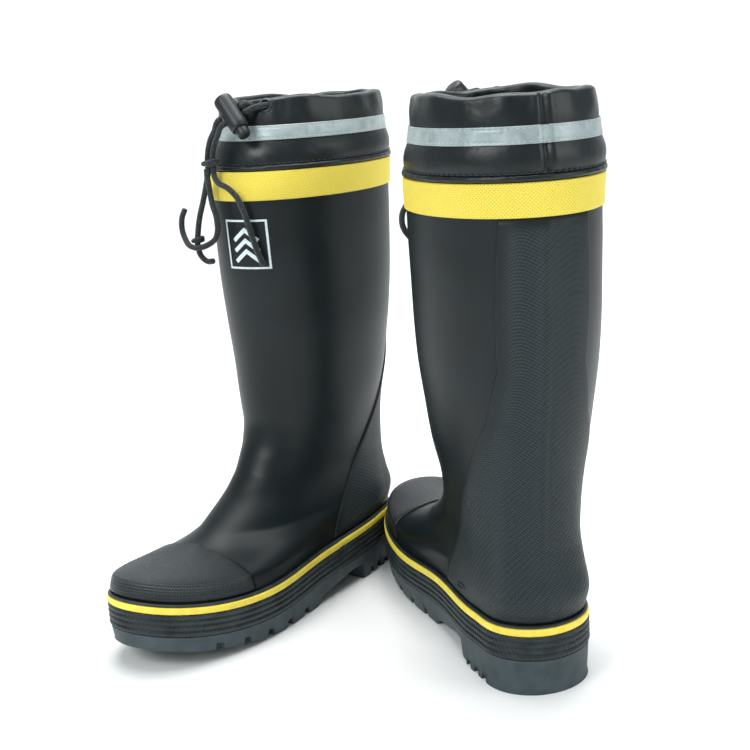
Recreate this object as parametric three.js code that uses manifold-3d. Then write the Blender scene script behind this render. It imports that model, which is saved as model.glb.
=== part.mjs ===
// A pair of rubber fire boots: moulded black rubber legs with a textured back stay and toe bumper,
// a ribbed foxing with a yellow line, a cleated outsole, a steel toe cap and midsole plate inside,
// a yellow top band, and a soft drawstring collar with reflective tape and a sprung cord lock.
//
// One boot, the left, is built in its own frame: x from heel to toe, y to its own left, z up from
// the ground. The right boot is its mirror image. Millimetres.

import * as THREE from 'three';
import { mergeVertices } from 'three/addons/utils/BufferGeometryUtils.js';
import Module from 'manifold-3d';

const wasm = await Module();
wasm.setup();

// ---------------------------------------------------------------- driving dimensions

// The last, on which the upper is built.
const HEEL_BACK = 14; // x of the heel's back at the sole
const FOOT_LENGTH = 284; // heel back to toe tip, outside the upper, at the sole
const FOOT_WIDTH = 100; // across the ball, outside the upper
const LEG_WIDTH = 122; // across the leg just under the top band
const BANANA = 4; // how far the foot's centre line bows to the outside at the waist
const TOE_TURN = 6; // how far the toe turns in
const TOE_ROUND = 0.38; // how much narrower the instep is than the sole under it

// The sole. Levels below FEATHER are counted from the ground under the ball of the foot.
const OUTSOLE_TOP = 11.7;
const STRIP_HEIGHT = 17.2; // ribbed foxing strip
const LINE_HEIGHT = 5; // yellow foxing line
const BEAD_HEIGHT = 1.8; // black bead over the line
const HEEL_LIFT = 13.5; // how much higher the whole sole stands under the heel
const TOE_SPRING = 18.4; // how far the toe tip curls up
const SPRING_START = 170; // x where the curl begins
const FOXING_PROUD = 4.1; // foxing's outer face from the upper's
const OUTSOLE_PROUD = 3.4; // outsole's top edge from the upper's face
const TREAD_PROUD = 1.6; // outsole's bottom edge from the upper's face
const GROOVE_DEPTH = 5;
const GROOVE_WIDTH = 5;
const FOREFOOT_GROOVES = [163, 186, 209, 232, 255];
const HEEL_GROOVES = [46, 58, 70];
const HEEL_BREAST = 84; // x of the heel's front face
const WAIST_END = 146; // x where the tread starts again
const WAIST_HEIGHT = 13; // arch over the ground behind the breast
const WAIST_STEP = 5; // arch over the ground at WAIST_END

// The upper and its heights.
const WALL = 3; // moulded rubber
const BAND_BOTTOM = 321;
const BAND_TOP = 342;
const TAPE_BOTTOM = 364.2;
const TAPE_TOP = 374.8;
const COLLAR_TOP = 395;
const ANKLE = 118; // height at which the foot has become the leg
const CALF_FADE = 165; // height at which the foot's outline has gone
const SKIN = 1.1; // thickness of the overlaid rubber sheets and band
const GAP = 0.3; // clearance between touching pieces

// Inside the foot.
const CAP_WALL = 2; // steel toe cap
const CAP_START = 236; // x of the toe cap's rear edge
const COUNTER_WALL = 1.6;
const COUNTER_FRONT = 76;
const COUNTER_TOP = 92;
const LINING_WALL = 1.2;
const MIDSOLE_THICK = 8;
const PLATE_THICK = 1;
const FOOTBED_THICK = 4.5;

// The overlays' edges, as shares of the boot's length at a height, from the heel: [height, share].
const STAY_EDGE = [
  [30, 0.39], [60, 0.43], [95, 0.44], [150, 0.235], [190, 0.108], [225, 0.066], [330, 0.055],
];
const BUMPER_EDGE = [[24, 214], [60, 222], [110, 230]]; // [height, x]

// The printed mark on the leg's front.
const MARK_BOTTOM = 269;
const MARK_TOP = 308;
const MARK_SIDES = [-8.5, 26];
const MARK_THICK = 0.3;

// The collar, its drawstring and the cord lock.
const COLLAR_WALL = 1.4;
const TUCK = 12; // how far the collar reaches down inside the rubber
const WELT_RADIUS = 2;
const HEM_DEPTH = 24;
const CORD = 4.5; // cord's diameter
const CORD_ROOM = 0.9; // added to the cord's diameter where it passes through something
const CHANNEL = CORD + 2.5; // clear width of the hem's channel
const CHANNEL_Z = 389.4; // height of the cord in its channel, and of the eyelets
const EYELETS = [{ facet: 12, share: 0.4 }, { facet: 10, share: 0.6 }]; // inner and outer side of the front
const EYELET_BORE = CORD / 2 + 0.85;
const EYELET_WALL = 0.8;
const EYELET_FLANGE = EYELET_BORE + 2.1;
const SEAM_TAPE_WIDTH = 7;

const LOCK_CENTRE = [152.5, 4, 383.7]; // middle of the cord lock's cross hole
const LOCK_AXIS = [0.1, 0.65, -0.753];
const LOCK_TURN = 40; // degrees the cross hole is turned towards the collar
const BARREL_LENGTH = 30;
const BARREL_RADIUS = 7.25;
const STRAND_PITCH = CORD + CORD_ROOM; // between the two cords in the lock
const HOLE_AT = 17; // cross hole from the barrel's closed end
const HOLE_LENGTH = 2 * CORD + 1.6;
const HOLE_WIDTH = CORD + CORD_ROOM;
const BORE_RADIUS = BARREL_RADIUS - 2.05;
const BARREL_FLOOR = 2.5;
const RUNNING_GAP = 0.3;
const SPRING_LENGTH = 6.6;
const PLUNGER_PROUD = 7;
const WIRE = 0.8;
const SPRING_TURNS = 3;

// How the pair stands: each boot's place and its heading in degrees.
const LEFT_AT = { x: -48.8, y: 9.2, heading: 232.7 };
const RIGHT_AT = { x: 90, y: -181.5, heading: 103.3 };
const PIVOT = 75; // local x of the point that those places name

const STATIONS = 24; // facets round the boot

// ---------------------------------------------------------------- colours

const paint = (color, roughness, metalness = 0) => (
  new THREE.MeshStandardMaterial({ color, roughness, metalness })
);
const RUBBER = paint('#2a3134', 0.5);
const SOLE_RUBBER = paint('#3a4448', 0.6);
const YELLOW = paint('#f2d63f', 0.55);
const PU = paint('#26292b', 0.45);
const SILVER = paint('#939d9f', 0.4);
const STEEL = paint('#a9adb0', 0.35, 0.9);
const PLASTIC = paint('#202426', 0.45);
const BRAID = paint('#1d2022', 0.85);
const TEXTILE = paint('#4a4f52', 0.9);
const FOAM = paint('#33383a', 0.9);
const INK = paint('#dfeef2', 0.6);

// ---------------------------------------------------------------- the boot's surface

const FEATHER = OUTSOLE_TOP + STRIP_HEIGHT + LINE_HEIGHT + BEAD_HEIGHT + 3 * GAP; // upper's visible bottom

// Heights with the back, the front and the half width of the leg there. The back and front follow
// FOOT_LENGTH and the half width follows LEG_WIDTH.
const KEYS = [
  [FEATHER + 0.4, 14, 298, 42],
  [FEATHER + 11.4, 14, 294.6, 41],
  [66, 10.9, 226, 35],
  [82, 16.1, 197, 33],
  [98, 18.9, 174.5, 35],
  [118, 17.5, 159, 41.5],
  [145, 15, 149, 47.5],
  [180, 9, 148, 54],
  [225, 1.5, 151, 59],
  [275, -4.7, 155, 60.5],
  [325, -8, 157, 61],
  [345, -8.6, 151, 62],
  [372, -6.4, 142, 58.5],
  [395, -3.3, 137, 55.5],
];
const KEY_LENGTH = 284;
const KEY_WIDTH = 122;

// Half width of the foot's outline, divided by the sine of the station's angle.
const OUTLINE = [[0, 69], [0.15, 51.5], [0.42, 41], [0.7, 53], [0.9, 63], [1, 70]];
const OUTLINE_WIDTH = 100;

const clamp01 = (v) => Math.min(1, Math.max(0, v));
const smooth = (v) => clamp01(v) ** 2 * (3 - 2 * clamp01(v));

/** A monotone cubic through [position, value] pairs, level past its ends. */
function curve(pairs) {
  const n = pairs.length;
  const slope = pairs.slice(1).map(([x, y], i) => (y - pairs[i][1]) / (x - pairs[i][0]));
  const tangent = pairs.map((_, i) => {
    if (i === 0 || i === n - 1) return 0;
    const [a, b] = [slope[i - 1], slope[i]];
    return a * b <= 0 ? 0 : (2 * a * b) / (a + b);
  });
  return (x) => {
    if (x <= pairs[0][0]) return pairs[0][1];
    if (x >= pairs[n - 1][0]) return pairs[n - 1][1];
    const i = pairs.findIndex(([key]) => key > x) - 1;
    const span = pairs[i + 1][0] - pairs[i][0];
    const s = (x - pairs[i][0]) / span;
    return pairs[i][1] * (1 + 2 * s) * (1 - s) ** 2 + tangent[i] * span * s * (1 - s) ** 2
      + pairs[i + 1][1] * s * s * (3 - 2 * s) + tangent[i + 1] * span * s * s * (s - 1);
  };
}

const lengthScale = FOOT_LENGTH / KEY_LENGTH;
const widthScale = LEG_WIDTH / KEY_WIDTH;
const along = (x) => HEEL_BACK + (x - HEEL_BACK) * lengthScale;
const onFront = ([x, y, z]) => [along(x), y * widthScale, z]; // a point that hangs before the leg
const backAt = curve(KEYS.map(([z, back]) => [z, along(back)]));
const frontAt = curve(KEYS.map(([z, , front]) => [z, along(front)]));
const legAt = curve(KEYS.map(([z, , , half]) => [z, half * widthScale]));
const outlineAt = curve(OUTLINE.map(([t, half]) => [t, (half * FOOT_WIDTH) / OUTLINE_WIDTH]));

const springEnd = HEEL_BACK + FOOT_LENGTH - along(SPRING_START);

/** Height that the toe's curl adds at x, for a point at height z. */
function curl(x, z) {
  return TOE_SPRING * clamp01((x - along(SPRING_START)) / springEnd) ** 2 * clamp01((ANKLE - z) / 70);
}

/** The outer skin: level is a height counted at the toe, angle runs from the heel by the left side. */
function surface(level, angle) {
  const t = (1 - Math.cos(angle)) / 2;
  const drop = HEEL_LIFT * (1 - smooth(t)) * clamp01((ANKLE - level) / (ANKLE - FEATHER));
  const z = level + drop;
  const foot = smooth((CALF_FADE - z) / 105);
  const arch = 1 - TOE_ROUND * clamp01((z - 52) / 21) * smooth((t - 0.3) / 0.7);
  const half = foot * outlineAt(t) * arch + (1 - foot) * legAt(z);
  const x = backAt(z) + (frontAt(z) - backAt(z)) * t;
  const y = half * Math.sin(angle) + foot * (BANANA * Math.sin(Math.PI * t) - TOE_TURN * t * t);
  return new THREE.Vector3(x, y, z + curl(x, z));
}

/** The skin's outward direction. */
function outward(level, angle) {
  const step = 0.02;
  const round = surface(level, angle + step).sub(surface(level, angle - step));
  const up = surface(level + 0.5, angle).sub(surface(level - 0.5, angle));
  return up.cross(round).normalize();
}

const onSkin = (offset, level, angle) => surface(level, angle).addScaledVector(outward(level, angle), offset);
const angleOf = (station) => (2 * Math.PI * station) / STATIONS;
const loop = (offset, level) => Array.from({ length: STATIONS }, (_, i) => onSkin(offset, level, angleOf(i)));

// ---------------------------------------------------------------- mesh and boolean helpers

/** A geometry from points and triangles, turned so that its faces point out. */
function solid(points, faces) {
  const volume = faces.reduce((sum, [a, b, c]) => sum
    + points[a].dot(new THREE.Vector3().crossVectors(points[b], points[c])), 0);
  const order = volume < 0 ? faces.map(([a, b, c]) => [a, c, b]) : faces;
  const geometry = new THREE.BufferGeometry();
  const corners = points.flatMap((p) => [p.x, p.y, p.z]);
  geometry.setAttribute('position', new THREE.Float32BufferAttribute(corners, 3));
  geometry.setIndex(order.flat());
  return geometry;
}

/** Quads between two loops that start at the given indices, as triangles. */
function strip(a, b, count, falling = false) {
  return Array.from({ length: count }, (_, i) => [i, (i + 1) % count]).flatMap(([i, j]) => (falling
    ? [[a + i, b + j, b + i], [a + i, a + j, b + j]]
    : [[a + i, a + j, b + i], [a + j, b + j, b + i]]));
}

/**
 * A closed hoop round the boot: section is a closed outline of [offset, level] corners. Facets are
 * split the same way on rising and falling walls, so that nested hoops stay parallel.
 */
function hoop(section) {
  const points = section.flatMap(([offset, level]) => loop(offset, level));
  const faces = section.flatMap(([, level], k) => {
    const next = (k + 1) % section.length;
    return strip(k * STATIONS, next * STATIONS, STATIONS, section[next][1] < level);
  });
  return solid(points, faces);
}

/** A hoop of even thickness between two offsets, through the given levels. */
const shell = (outer, inner, levels) => hoop([
  ...levels.map((level) => [outer, level]),
  ...[...levels].reverse().map((level) => [inner, level]),
]);

/** A plate that fills the boot's outline between two loops of points. */
function plate(bottom, top) {
  const n = STATIONS;
  const cap = (start) => Array.from({ length: n / 2 }, (_, i) => i).flatMap((i) => {
    const [a, b, c, d] = [i, i + 1, n - i - 1, (n - i) % n].map((k) => start + k);
    if (i === 0) return [[a, b, c]];
    return i === n / 2 - 1 ? [[a, b, d]] : [[a, b, c], [a, c, d]];
  });
  const faces = [...strip(0, n, n), ...cap(0).map(([a, b, c]) => [a, c, b]), ...cap(n)];
  return solid([...bottom, ...top], faces);
}

function toManifold(geometry) {
  const bare = geometry.clone();
  bare.deleteAttribute('normal');
  bare.deleteAttribute('uv');
  const merged = mergeVertices(bare, 1e-4);
  return new wasm.Manifold(new wasm.Mesh({
    numProp: 3,
    vertProperties: merged.attributes.position.array,
    triVerts: new Uint32Array(merged.index.array),
  }));
}

function fromManifold(body) {
  const mesh = body.getMesh();
  const geometry = new THREE.BufferGeometry();
  geometry.setAttribute('position', new THREE.BufferAttribute(new Float32Array(mesh.vertProperties), 3));
  geometry.setIndex([...mesh.triVerts]);
  return geometry;
}

const cut = (geometry, ...tools) => fromManifold(
  tools.reduce((body, tool) => body.subtract(toManifold(tool)), toManifold(geometry)),
);
const keep = (geometry, tool) => fromManifold(toManifold(geometry).intersect(toManifold(tool)));

/** A side-view outline of [x, z] corners, carried straight across the boot. */
function across(outline) {
  const shape = new THREE.Shape(outline.map(([x, z]) => new THREE.Vector2(x, z)));
  return new THREE.ExtrudeGeometry(shape, { depth: 200, bevelEnabled: false })
    .rotateX(Math.PI / 2).translate(0, 100, 0);
}

function box(low, high) {
  const size = high.map((v, i) => v - low[i]);
  return new THREE.BoxGeometry(...size).translate(...low.map((v, i) => v + size[i] / 2));
}

/** A round cord through points, with a number of steps from each point to the next. */
function cordAlong(points, perPoint = 1, diameter = CORD, sides = 8) {
  const ring = Array.from({ length: sides }, (_, i) => (2 * Math.PI * (i + 0.5)) / sides)
    .map((a) => new THREE.Vector2(Math.cos(a), Math.sin(a)).multiplyScalar(diameter / 2));
  const path = new THREE.CatmullRomCurve3(points.map((p) => new THREE.Vector3(...p)), false, 'centripetal');
  path.getUtoTmapping = (u) => u; // steps fall on the points, closer where they are closer
  const steps = perPoint * (points.length - 1);
  return new THREE.ExtrudeGeometry(new THREE.Shape(ring), { steps, extrudePath: path, bevelEnabled: false });
}

const turned = (profile, segments) => new THREE.LatheGeometry(
  profile.map(([r, y]) => new THREE.Vector2(r, y)), segments,
);

// ---------------------------------------------------------------- sole

const STRIP_BOTTOM = OUTSOLE_TOP + GAP;
const STRIP_TOP = STRIP_BOTTOM + STRIP_HEIGHT;
const LINE_BOTTOM = STRIP_TOP + GAP;
const LINE_TOP = LINE_BOTTOM + LINE_HEIGHT;
const BEAD_BOTTOM = LINE_TOP + GAP;
const BEAD_TOP = BEAD_BOTTOM + BEAD_HEIGHT;

function outsole() {
  const top = loop(OUTSOLE_PROUD, OUTSOLE_TOP);
  const bottom = loop(TREAD_PROUD, OUTSOLE_TOP).map((p) => new THREE.Vector3(p.x, p.y, curl(p.x, 0)));
  const waist = across([
    [along(HEEL_BREAST), -1], [along(HEEL_BREAST), WAIST_HEIGHT], [along(HEEL_BREAST) + 14, WAIST_HEIGHT],
    [along(WAIST_END) - 6, WAIST_STEP], [along(WAIST_END), -1],
  ]);
  const grooves = [...HEEL_GROOVES, ...FOREFOOT_GROOVES].map((at) => {
    const x = along(at);
    const roof = curl(x, 0) + GROOVE_DEPTH;
    return across([
      [x - GROOVE_WIDTH / 2 - 1, -1], [x - GROOVE_WIDTH / 2, roof],
      [x + GROOVE_WIDTH / 2, roof], [x + GROOVE_WIDTH / 2 + 1, -1],
    ]);
  });
  return cut(plate(bottom, top), waist, ...grooves);
}

const foxing = (bottom, top, proud) => shell(proud, GAP, [bottom, top]);

/** A plate under the foot, inside the upper. */
const insole = (clearance, bottom, thickness) => plate(
  loop(-clearance, bottom), loop(-clearance, bottom + thickness),
);

const MIDSOLE_BOTTOM = OUTSOLE_TOP + GAP;
const PLATE_BOTTOM = MIDSOLE_BOTTOM + MIDSOLE_THICK + GAP;
const FOOTBED_BOTTOM = PLATE_BOTTOM + PLATE_THICK + GAP;

// ---------------------------------------------------------------- upper

const FOOT_LEVELS = [48, 60, 70, 82, 98];
const LEG_LEVELS = [...FOOT_LEVELS, ANKLE, 150, 188, MARK_BOTTOM, MARK_TOP];
const upper = () => shell(0, -WALL, [
  STRIP_BOTTOM, FEATHER, ...LEG_LEVELS, BAND_BOTTOM, BAND_TOP - TUCK, BAND_TOP,
]);

/** x at a share of the boot's length, at a height. */
const shareAt = (z, share) => backAt(z) + (frontAt(z) - backAt(z)) * share;

function heelPanel() {
  const sheet = shell(GAP + SKIN, GAP, [FEATHER + GAP, ...LEG_LEVELS, BAND_BOTTOM - GAP]);
  const edge = STAY_EDGE.map(([z, share]) => [shareAt(z, share), z]);
  return keep(sheet, across([[-60, STAY_EDGE[0][0] - 20], ...edge, [-60, BAND_TOP]]));
}

function toeBumper() {
  const sheet = shell(GAP + SKIN, GAP, [FEATHER + GAP, ...FOOT_LEVELS, ANKLE]);
  const edge = BUMPER_EDGE.map(([z, x]) => [along(x), z]);
  return keep(sheet, across([[along(330), 0], [along(330), ANKLE], ...edge.reverse()]));
}

const topBand = () => shell(GAP + SKIN, GAP, [BAND_BOTTOM, BAND_TOP - TUCK, BAND_TOP]);

function printedMark() {
  const film = shell(GAP + MARK_THICK, GAP, [MARK_BOTTOM, MARK_TOP]);
  return keep(film, box(
    [along(100), MARK_SIDES[0], MARK_BOTTOM - 5], [along(200), MARK_SIDES[1], MARK_TOP + 5],
  ));
}

const CAP_OUTER = -(WALL + GAP);
const CAP_INNER = CAP_OUTER - CAP_WALL;

function toeCap() {
  const dome = shell(CAP_OUTER, CAP_INNER, [FOOTBED_BOTTOM, FEATHER, ...FOOT_LEVELS]);
  return keep(dome, across([
    [along(CAP_START), 0], [along(330), 0], [along(330), ANKLE], [along(CAP_START), ANKLE],
  ]));
}

function heelCounter() {
  const cup = shell(CAP_OUTER, CAP_OUTER - COUNTER_WALL, [FOOTBED_BOTTOM, FEATHER, ...FOOT_LEVELS]);
  return keep(cup, across([
    [-60, 0], [along(COUNTER_FRONT), 0], [along(COUNTER_FRONT) - 14, COUNTER_TOP], [-60, COUNTER_TOP],
  ]));
}

function lining() {
  const foot = CAP_INNER - GAP;
  const leg = -(WALL + GAP);
  const levels = [FOOTBED_BOTTOM + GAP, FEATHER, ...LEG_LEVELS, BAND_BOTTOM, BAND_TOP - TUCK - 1];
  const offset = (level) => leg + (foot - leg) * clamp01((148 - level) / 30);
  return hoop([
    ...levels.map((level) => [offset(level), level]),
    ...levels.reverse().map((level) => [offset(level) - LINING_WALL, level]),
  ]);
}

// ---------------------------------------------------------------- collar

const WELT_Z = BAND_TOP + GAP + WELT_RADIUS;
const WELT_OFFSET = -0.2;
const HEM_INNER = -(COLLAR_WALL + CHANNEL);

const WALL_TOP = COLLAR_TOP - 2.5;

/** A place on a flat facet of the collar's wall over the tape, and its outward direction. */
function eyeletSeat({ facet, share }) {
  const high = (CHANNEL_Z - TAPE_TOP) / (WALL_TOP - TAPE_TOP);
  const corner = (side, level) => onSkin(0, level, angleOf(facet + side));
  const foot = corner(0, TAPE_TOP).lerp(corner(1, TAPE_TOP), share);
  const head = corner(0, WALL_TOP).lerp(corner(1, WALL_TOP), share);
  const round = corner(1, CHANNEL_Z).sub(corner(0, CHANNEL_Z));
  return { at: foot.clone().lerp(head, high), out: head.sub(foot).cross(round).normalize() };
}

/** Puts a piece made along +y onto an axis. */
function aimed(geometry, at, axis) {
  const turn = new THREE.Quaternion().setFromUnitVectors(new THREE.Vector3(0, 1, 0), axis);
  return geometry.applyQuaternion(turn).translate(at.x, at.y, at.z);
}

function collar() {
  const rim = BAND_TOP + GAP;
  const seat = -(WALL + GAP);
  const behindWelt = WELT_OFFSET - WELT_RADIUS - GAP;
  const weltTop = WELT_Z + WELT_RADIUS + GAP;
  const inHem = COLLAR_TOP - COLLAR_WALL - 1;
  const body = hoop([
    [seat, BAND_TOP - TUCK], [seat, rim], [behindWelt, rim], [behindWelt, weltTop],
    [0, weltTop + 1], [0, TAPE_BOTTOM], [0, TAPE_TOP], [0, WALL_TOP],
    [-1.5, COLLAR_TOP], [HEM_INNER, COLLAR_TOP], [HEM_INNER - COLLAR_WALL, COLLAR_TOP - 2],
    [HEM_INNER - COLLAR_WALL, COLLAR_TOP - HEM_DEPTH], [HEM_INNER, COLLAR_TOP - HEM_DEPTH],
    [HEM_INNER, inHem], [-COLLAR_WALL, inHem], [-COLLAR_WALL, TAPE_TOP],
    [-COLLAR_WALL, TAPE_BOTTOM], [-COLLAR_WALL, weltTop + 2],
    [seat - COLLAR_WALL, weltTop], [seat - COLLAR_WALL, BAND_TOP - TUCK],
  ]);
  const holes = EYELETS.map((eyelet) => {
    const { at, out } = eyeletSeat(eyelet);
    const radius = EYELET_BORE + EYELET_WALL + GAP;
    return aimed(new THREE.CylinderGeometry(radius, radius, 2.6 * COLLAR_WALL, 12), at, out);
  });
  return cut(body, ...holes);
}

const weltSection = Array.from({ length: 5 }, (_, i) => (2 * Math.PI * i) / 5)
  .map((a) => [WELT_OFFSET + WELT_RADIUS * Math.cos(a), WELT_Z + WELT_RADIUS * Math.sin(a)]);
const collarWelt = () => hoop(weltSection);

const reflectiveTape = () => shell(GAP + 0.6, GAP, [TAPE_BOTTOM, TAPE_TOP]);

function collarSeamTape() {
  const backing = shell(-COLLAR_WALL - GAP, -COLLAR_WALL - GAP - 0.6, [
    WELT_Z + 8, TAPE_BOTTOM, COLLAR_TOP - HEM_DEPTH - 3,
  ]);
  return keep(backing, box(
    [-60, -SEAM_TAPE_WIDTH / 2, WELT_Z], [along(60), SEAM_TAPE_WIDTH / 2, COLLAR_TOP],
  ));
}

function eyelet(place) {
  const { at, out } = eyeletSeat(place);
  const tube = EYELET_BORE + EYELET_WALL;
  const profile = [
    [EYELET_BORE, -COLLAR_WALL - GAP], [tube, -COLLAR_WALL - GAP], [tube, GAP], [EYELET_FLANGE, GAP],
    [EYELET_FLANGE - 0.4, GAP + 0.9], [EYELET_BORE + 0.3, GAP + 0.9], [EYELET_BORE, -COLLAR_WALL - GAP],
  ];
  return aimed(turned(profile, 10), at, out);
}

// ---------------------------------------------------------------- cord lock

const lockAxis = new THREE.Vector3(...LOCK_AXIS).normalize();
const lockCentre = new THREE.Vector3(...onFront(LOCK_CENTRE));
const lockSide = new THREE.Vector3(0, -lockAxis.z, lockAxis.y).normalize(); // up and to the left
const lockBack = new THREE.Vector3().crossVectors(lockAxis, lockSide).normalize();
const towardsCollar = lockBack.x < 0 ? lockBack : lockBack.negate();
const holeAxis = lockSide.clone().multiplyScalar(Math.cos(THREE.MathUtils.degToRad(LOCK_TURN)))
  .addScaledVector(towardsCollar, Math.sin(THREE.MathUtils.degToRad(LOCK_TURN)));
const closedEnd = lockCentre.clone().addScaledVector(lockAxis, -HOLE_AT);

/** A cord's way through the cross hole: its mouth on the collar's side (1) or the free side (-1). */
const mouth = (side, strand, extra = 0) => lockCentre.clone()
  .addScaledVector(holeAxis, side * (BARREL_RADIUS + GAP + extra))
  .addScaledVector(lockAxis, strand * (STRAND_PITCH / 2));

/** Places a piece of the lock: made along +y from the barrel's closed end, its hole along +x. */
function inLock(geometry) {
  const third = new THREE.Vector3().crossVectors(holeAxis, lockAxis);
  const frame = new THREE.Matrix4().makeBasis(holeAxis, lockAxis, third).setPosition(closedEnd);
  return geometry.applyMatrix4(frame);
}

const crossHole = (spare) => box(
  [-2 * BARREL_RADIUS, HOLE_AT - HOLE_LENGTH / 2 - spare, -HOLE_WIDTH / 2 - spare],
  [2 * BARREL_RADIUS, HOLE_AT + HOLE_LENGTH / 2 + spare, HOLE_WIDTH / 2 + spare],
);

function lockBarrel() {
  const body = turned([
    [0, 0], [BARREL_RADIUS - 1.5, 0], [BARREL_RADIUS, 1.5], [BARREL_RADIUS, BARREL_LENGTH - 1],
    [BARREL_RADIUS - 1, BARREL_LENGTH], [BORE_RADIUS, BARREL_LENGTH], [BORE_RADIUS, BARREL_FLOOR],
    [0, BARREL_FLOOR],
  ], 14);
  return inLock(cut(body, crossHole(0)));
}

const PLUNGER_START = BARREL_FLOOR + GAP + SPRING_LENGTH + GAP;

function lockPlunger() {
  const radius = BORE_RADIUS - RUNNING_GAP;
  const end = BARREL_LENGTH + PLUNGER_PROUD;
  const body = turned([
    [0, PLUNGER_START], [radius, PLUNGER_START], [radius, end - 1], [radius - 1, end], [0, end],
  ], 14);
  return inLock(cut(body, crossHole(0.2)));
}

function lockSpring() {
  const radius = BORE_RADIUS - RUNNING_GAP - WIRE;
  const bottom = BARREL_FLOOR + GAP + WIRE / 2;
  const rise = SPRING_LENGTH - WIRE;
  const perTurn = 6;
  const points = Array.from({ length: SPRING_TURNS * perTurn + 1 }, (_, i) => {
    const a = (2 * Math.PI * i) / perTurn;
    return [radius * Math.cos(a), bottom + (rise * i) / (SPRING_TURNS * perTurn), radius * Math.sin(a)];
  });
  return inLock(cordAlong(points, 1, WIRE, 4));
}

// ---------------------------------------------------------------- cords and knots

const list = (v) => [v.x, v.y, v.z];

// What shows of the drawstring between the lock and the two eyelets.
const INNER_LOOP = [[143.6, 9.6, 392], [142, 4, 391.6], [141.9, -2, 390.3]];
const OUTER_LOOP = [[139.6, 18.3, 389.2], [142.4, 15.2, 388.3]];

/** The drawstring: from the lock, in at one eyelet, round the hem's channel and out at the other. */
function drawstring() {
  const depth = -COLLAR_WALL - CHANNEL / 2;
  const [inner, outer] = EYELETS.map(eyeletSeat);
  const from = (seat, offset) => seat.at.clone().addScaledVector(seat.out, offset);
  const channel = Array.from({ length: STATIONS - 4 }, (_, i) => EYELETS[0].facet + 2 + i)
    .map((station) => list(onSkin(depth, CHANNEL_Z, angleOf(station))));
  const through = (seat, aside) => [
    list(from(seat, depth + 0.4).addScaledVector(aside, 3)),
    list(from(seat, depth + 1.6).addScaledVector(aside, 0.8)),
    list(from(seat, -COLLAR_WALL)), list(from(seat, 2.1)),
  ];
  const asideInner = onSkin(0, CHANNEL_Z, angleOf(EYELETS[0].facet + 1)).sub(inner.at).normalize();
  const asideOuter = onSkin(0, CHANNEL_Z, angleOf(EYELETS[1].facet)).sub(outer.at).normalize();
  return cordAlong([
    list(mouth(1, -1)), list(mouth(1, -1, 2.5)), ...INNER_LOOP.map(onFront),
    ...through(inner, asideInner).reverse(), ...channel, ...through(outer, asideOuter),
    ...OUTER_LOOP.map(onFront), list(mouth(1, 1, 2.5)), list(mouth(1, 1)),
  ], 1, CORD, 6);
}

// Each free strand leaves the lock, hangs down the front of the leg and ends free.
const STRAND_A = [
  [158.4, -10.2, 373.2], [157.6, -15.6, 367], [157.4, -19, 359.5], [158, -20, 353], [158.4, -20, 345],
  [160.8, -21, 334], [163.4, -24, 320], [165, -26.8, 310], [166, -29, 299], [166.2, -30.4, 288],
  [165.7, -28.6, 280.4], [164.8, -23, 276], [164, -16.5, 276.6],
];
const STRAND_B = [
  [159.2, -6.8, 369.4], [158, -11.8, 363], [157.6, -14.2, 358], [158.2, -14.6, 352.5], [158.6, -14.4, 346],
  [160.6, -12, 339.6], [162.4, -6.8, 335.2], [162.4, 1.9, 331.6], [161.4, 9.6, 324.4],
  [160.4, 14.6, 313], [158.8, 17.6, 299],
  [157, 20.6, 286], [154.6, 24.2, 273],
];
const TIE = [
  [162.8, -17.3, 346.4], [163, -17.2, 340], [163.3, -16.2, 334],
  [163.4, -15.6, 329.4], [164, -13.4, 319], [164.2, -10.4, 310], [164.6, -9.6, 302], [165.4, -12, 294],
  [168.4, -18.6, 289], [171.4, -26, 287.2], [172, -33, 288.6], [170.4, -39, 293.6], [169, -42.8, 301],
  [168.2, -42.6, 309], [167.8, -38.6, 316.4],
];
const UPPER_KNOT = { at: [158.3, -17.3, 350], size: [14.6, 8.6], hole: [10.9, 5.3], height: 6 };
const LOWER_KNOT = { at: [166.1, -29.9, 292.5], size: [9.6, 9.2], hole: [5.3, 5.3], height: 4.5 };

const strand = (side, points) => cordAlong([
  list(mouth(-1, side)), list(mouth(-1, side, 3)), ...points.map(onFront),
]);

/** A knot as a ring of cord round the strands that run through it. */
function knot({ at, size, hole, height }) {
  const blunt = (v) => Math.sign(v) * Math.abs(v) ** 0.6;
  const oval = (width, depth, sides) => Array.from({ length: sides }, (_, i) => {
    const a = (2 * Math.PI * (i + 0.5)) / sides;
    return new THREE.Vector2((blunt(Math.cos(a)) * depth) / 2, (blunt(Math.sin(a)) * width) / 2);
  });
  const shape = new THREE.Shape(oval(...size, 10));
  shape.holes.push(new THREE.Path(oval(...hole.map((v) => v + 0.6), 10)));
  return new THREE.ExtrudeGeometry(shape, { depth: height, bevelEnabled: false })
    .translate(...onFront(at)).translate(0, 0, -height / 2);
}

// ---------------------------------------------------------------- the boots and the pair

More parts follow.
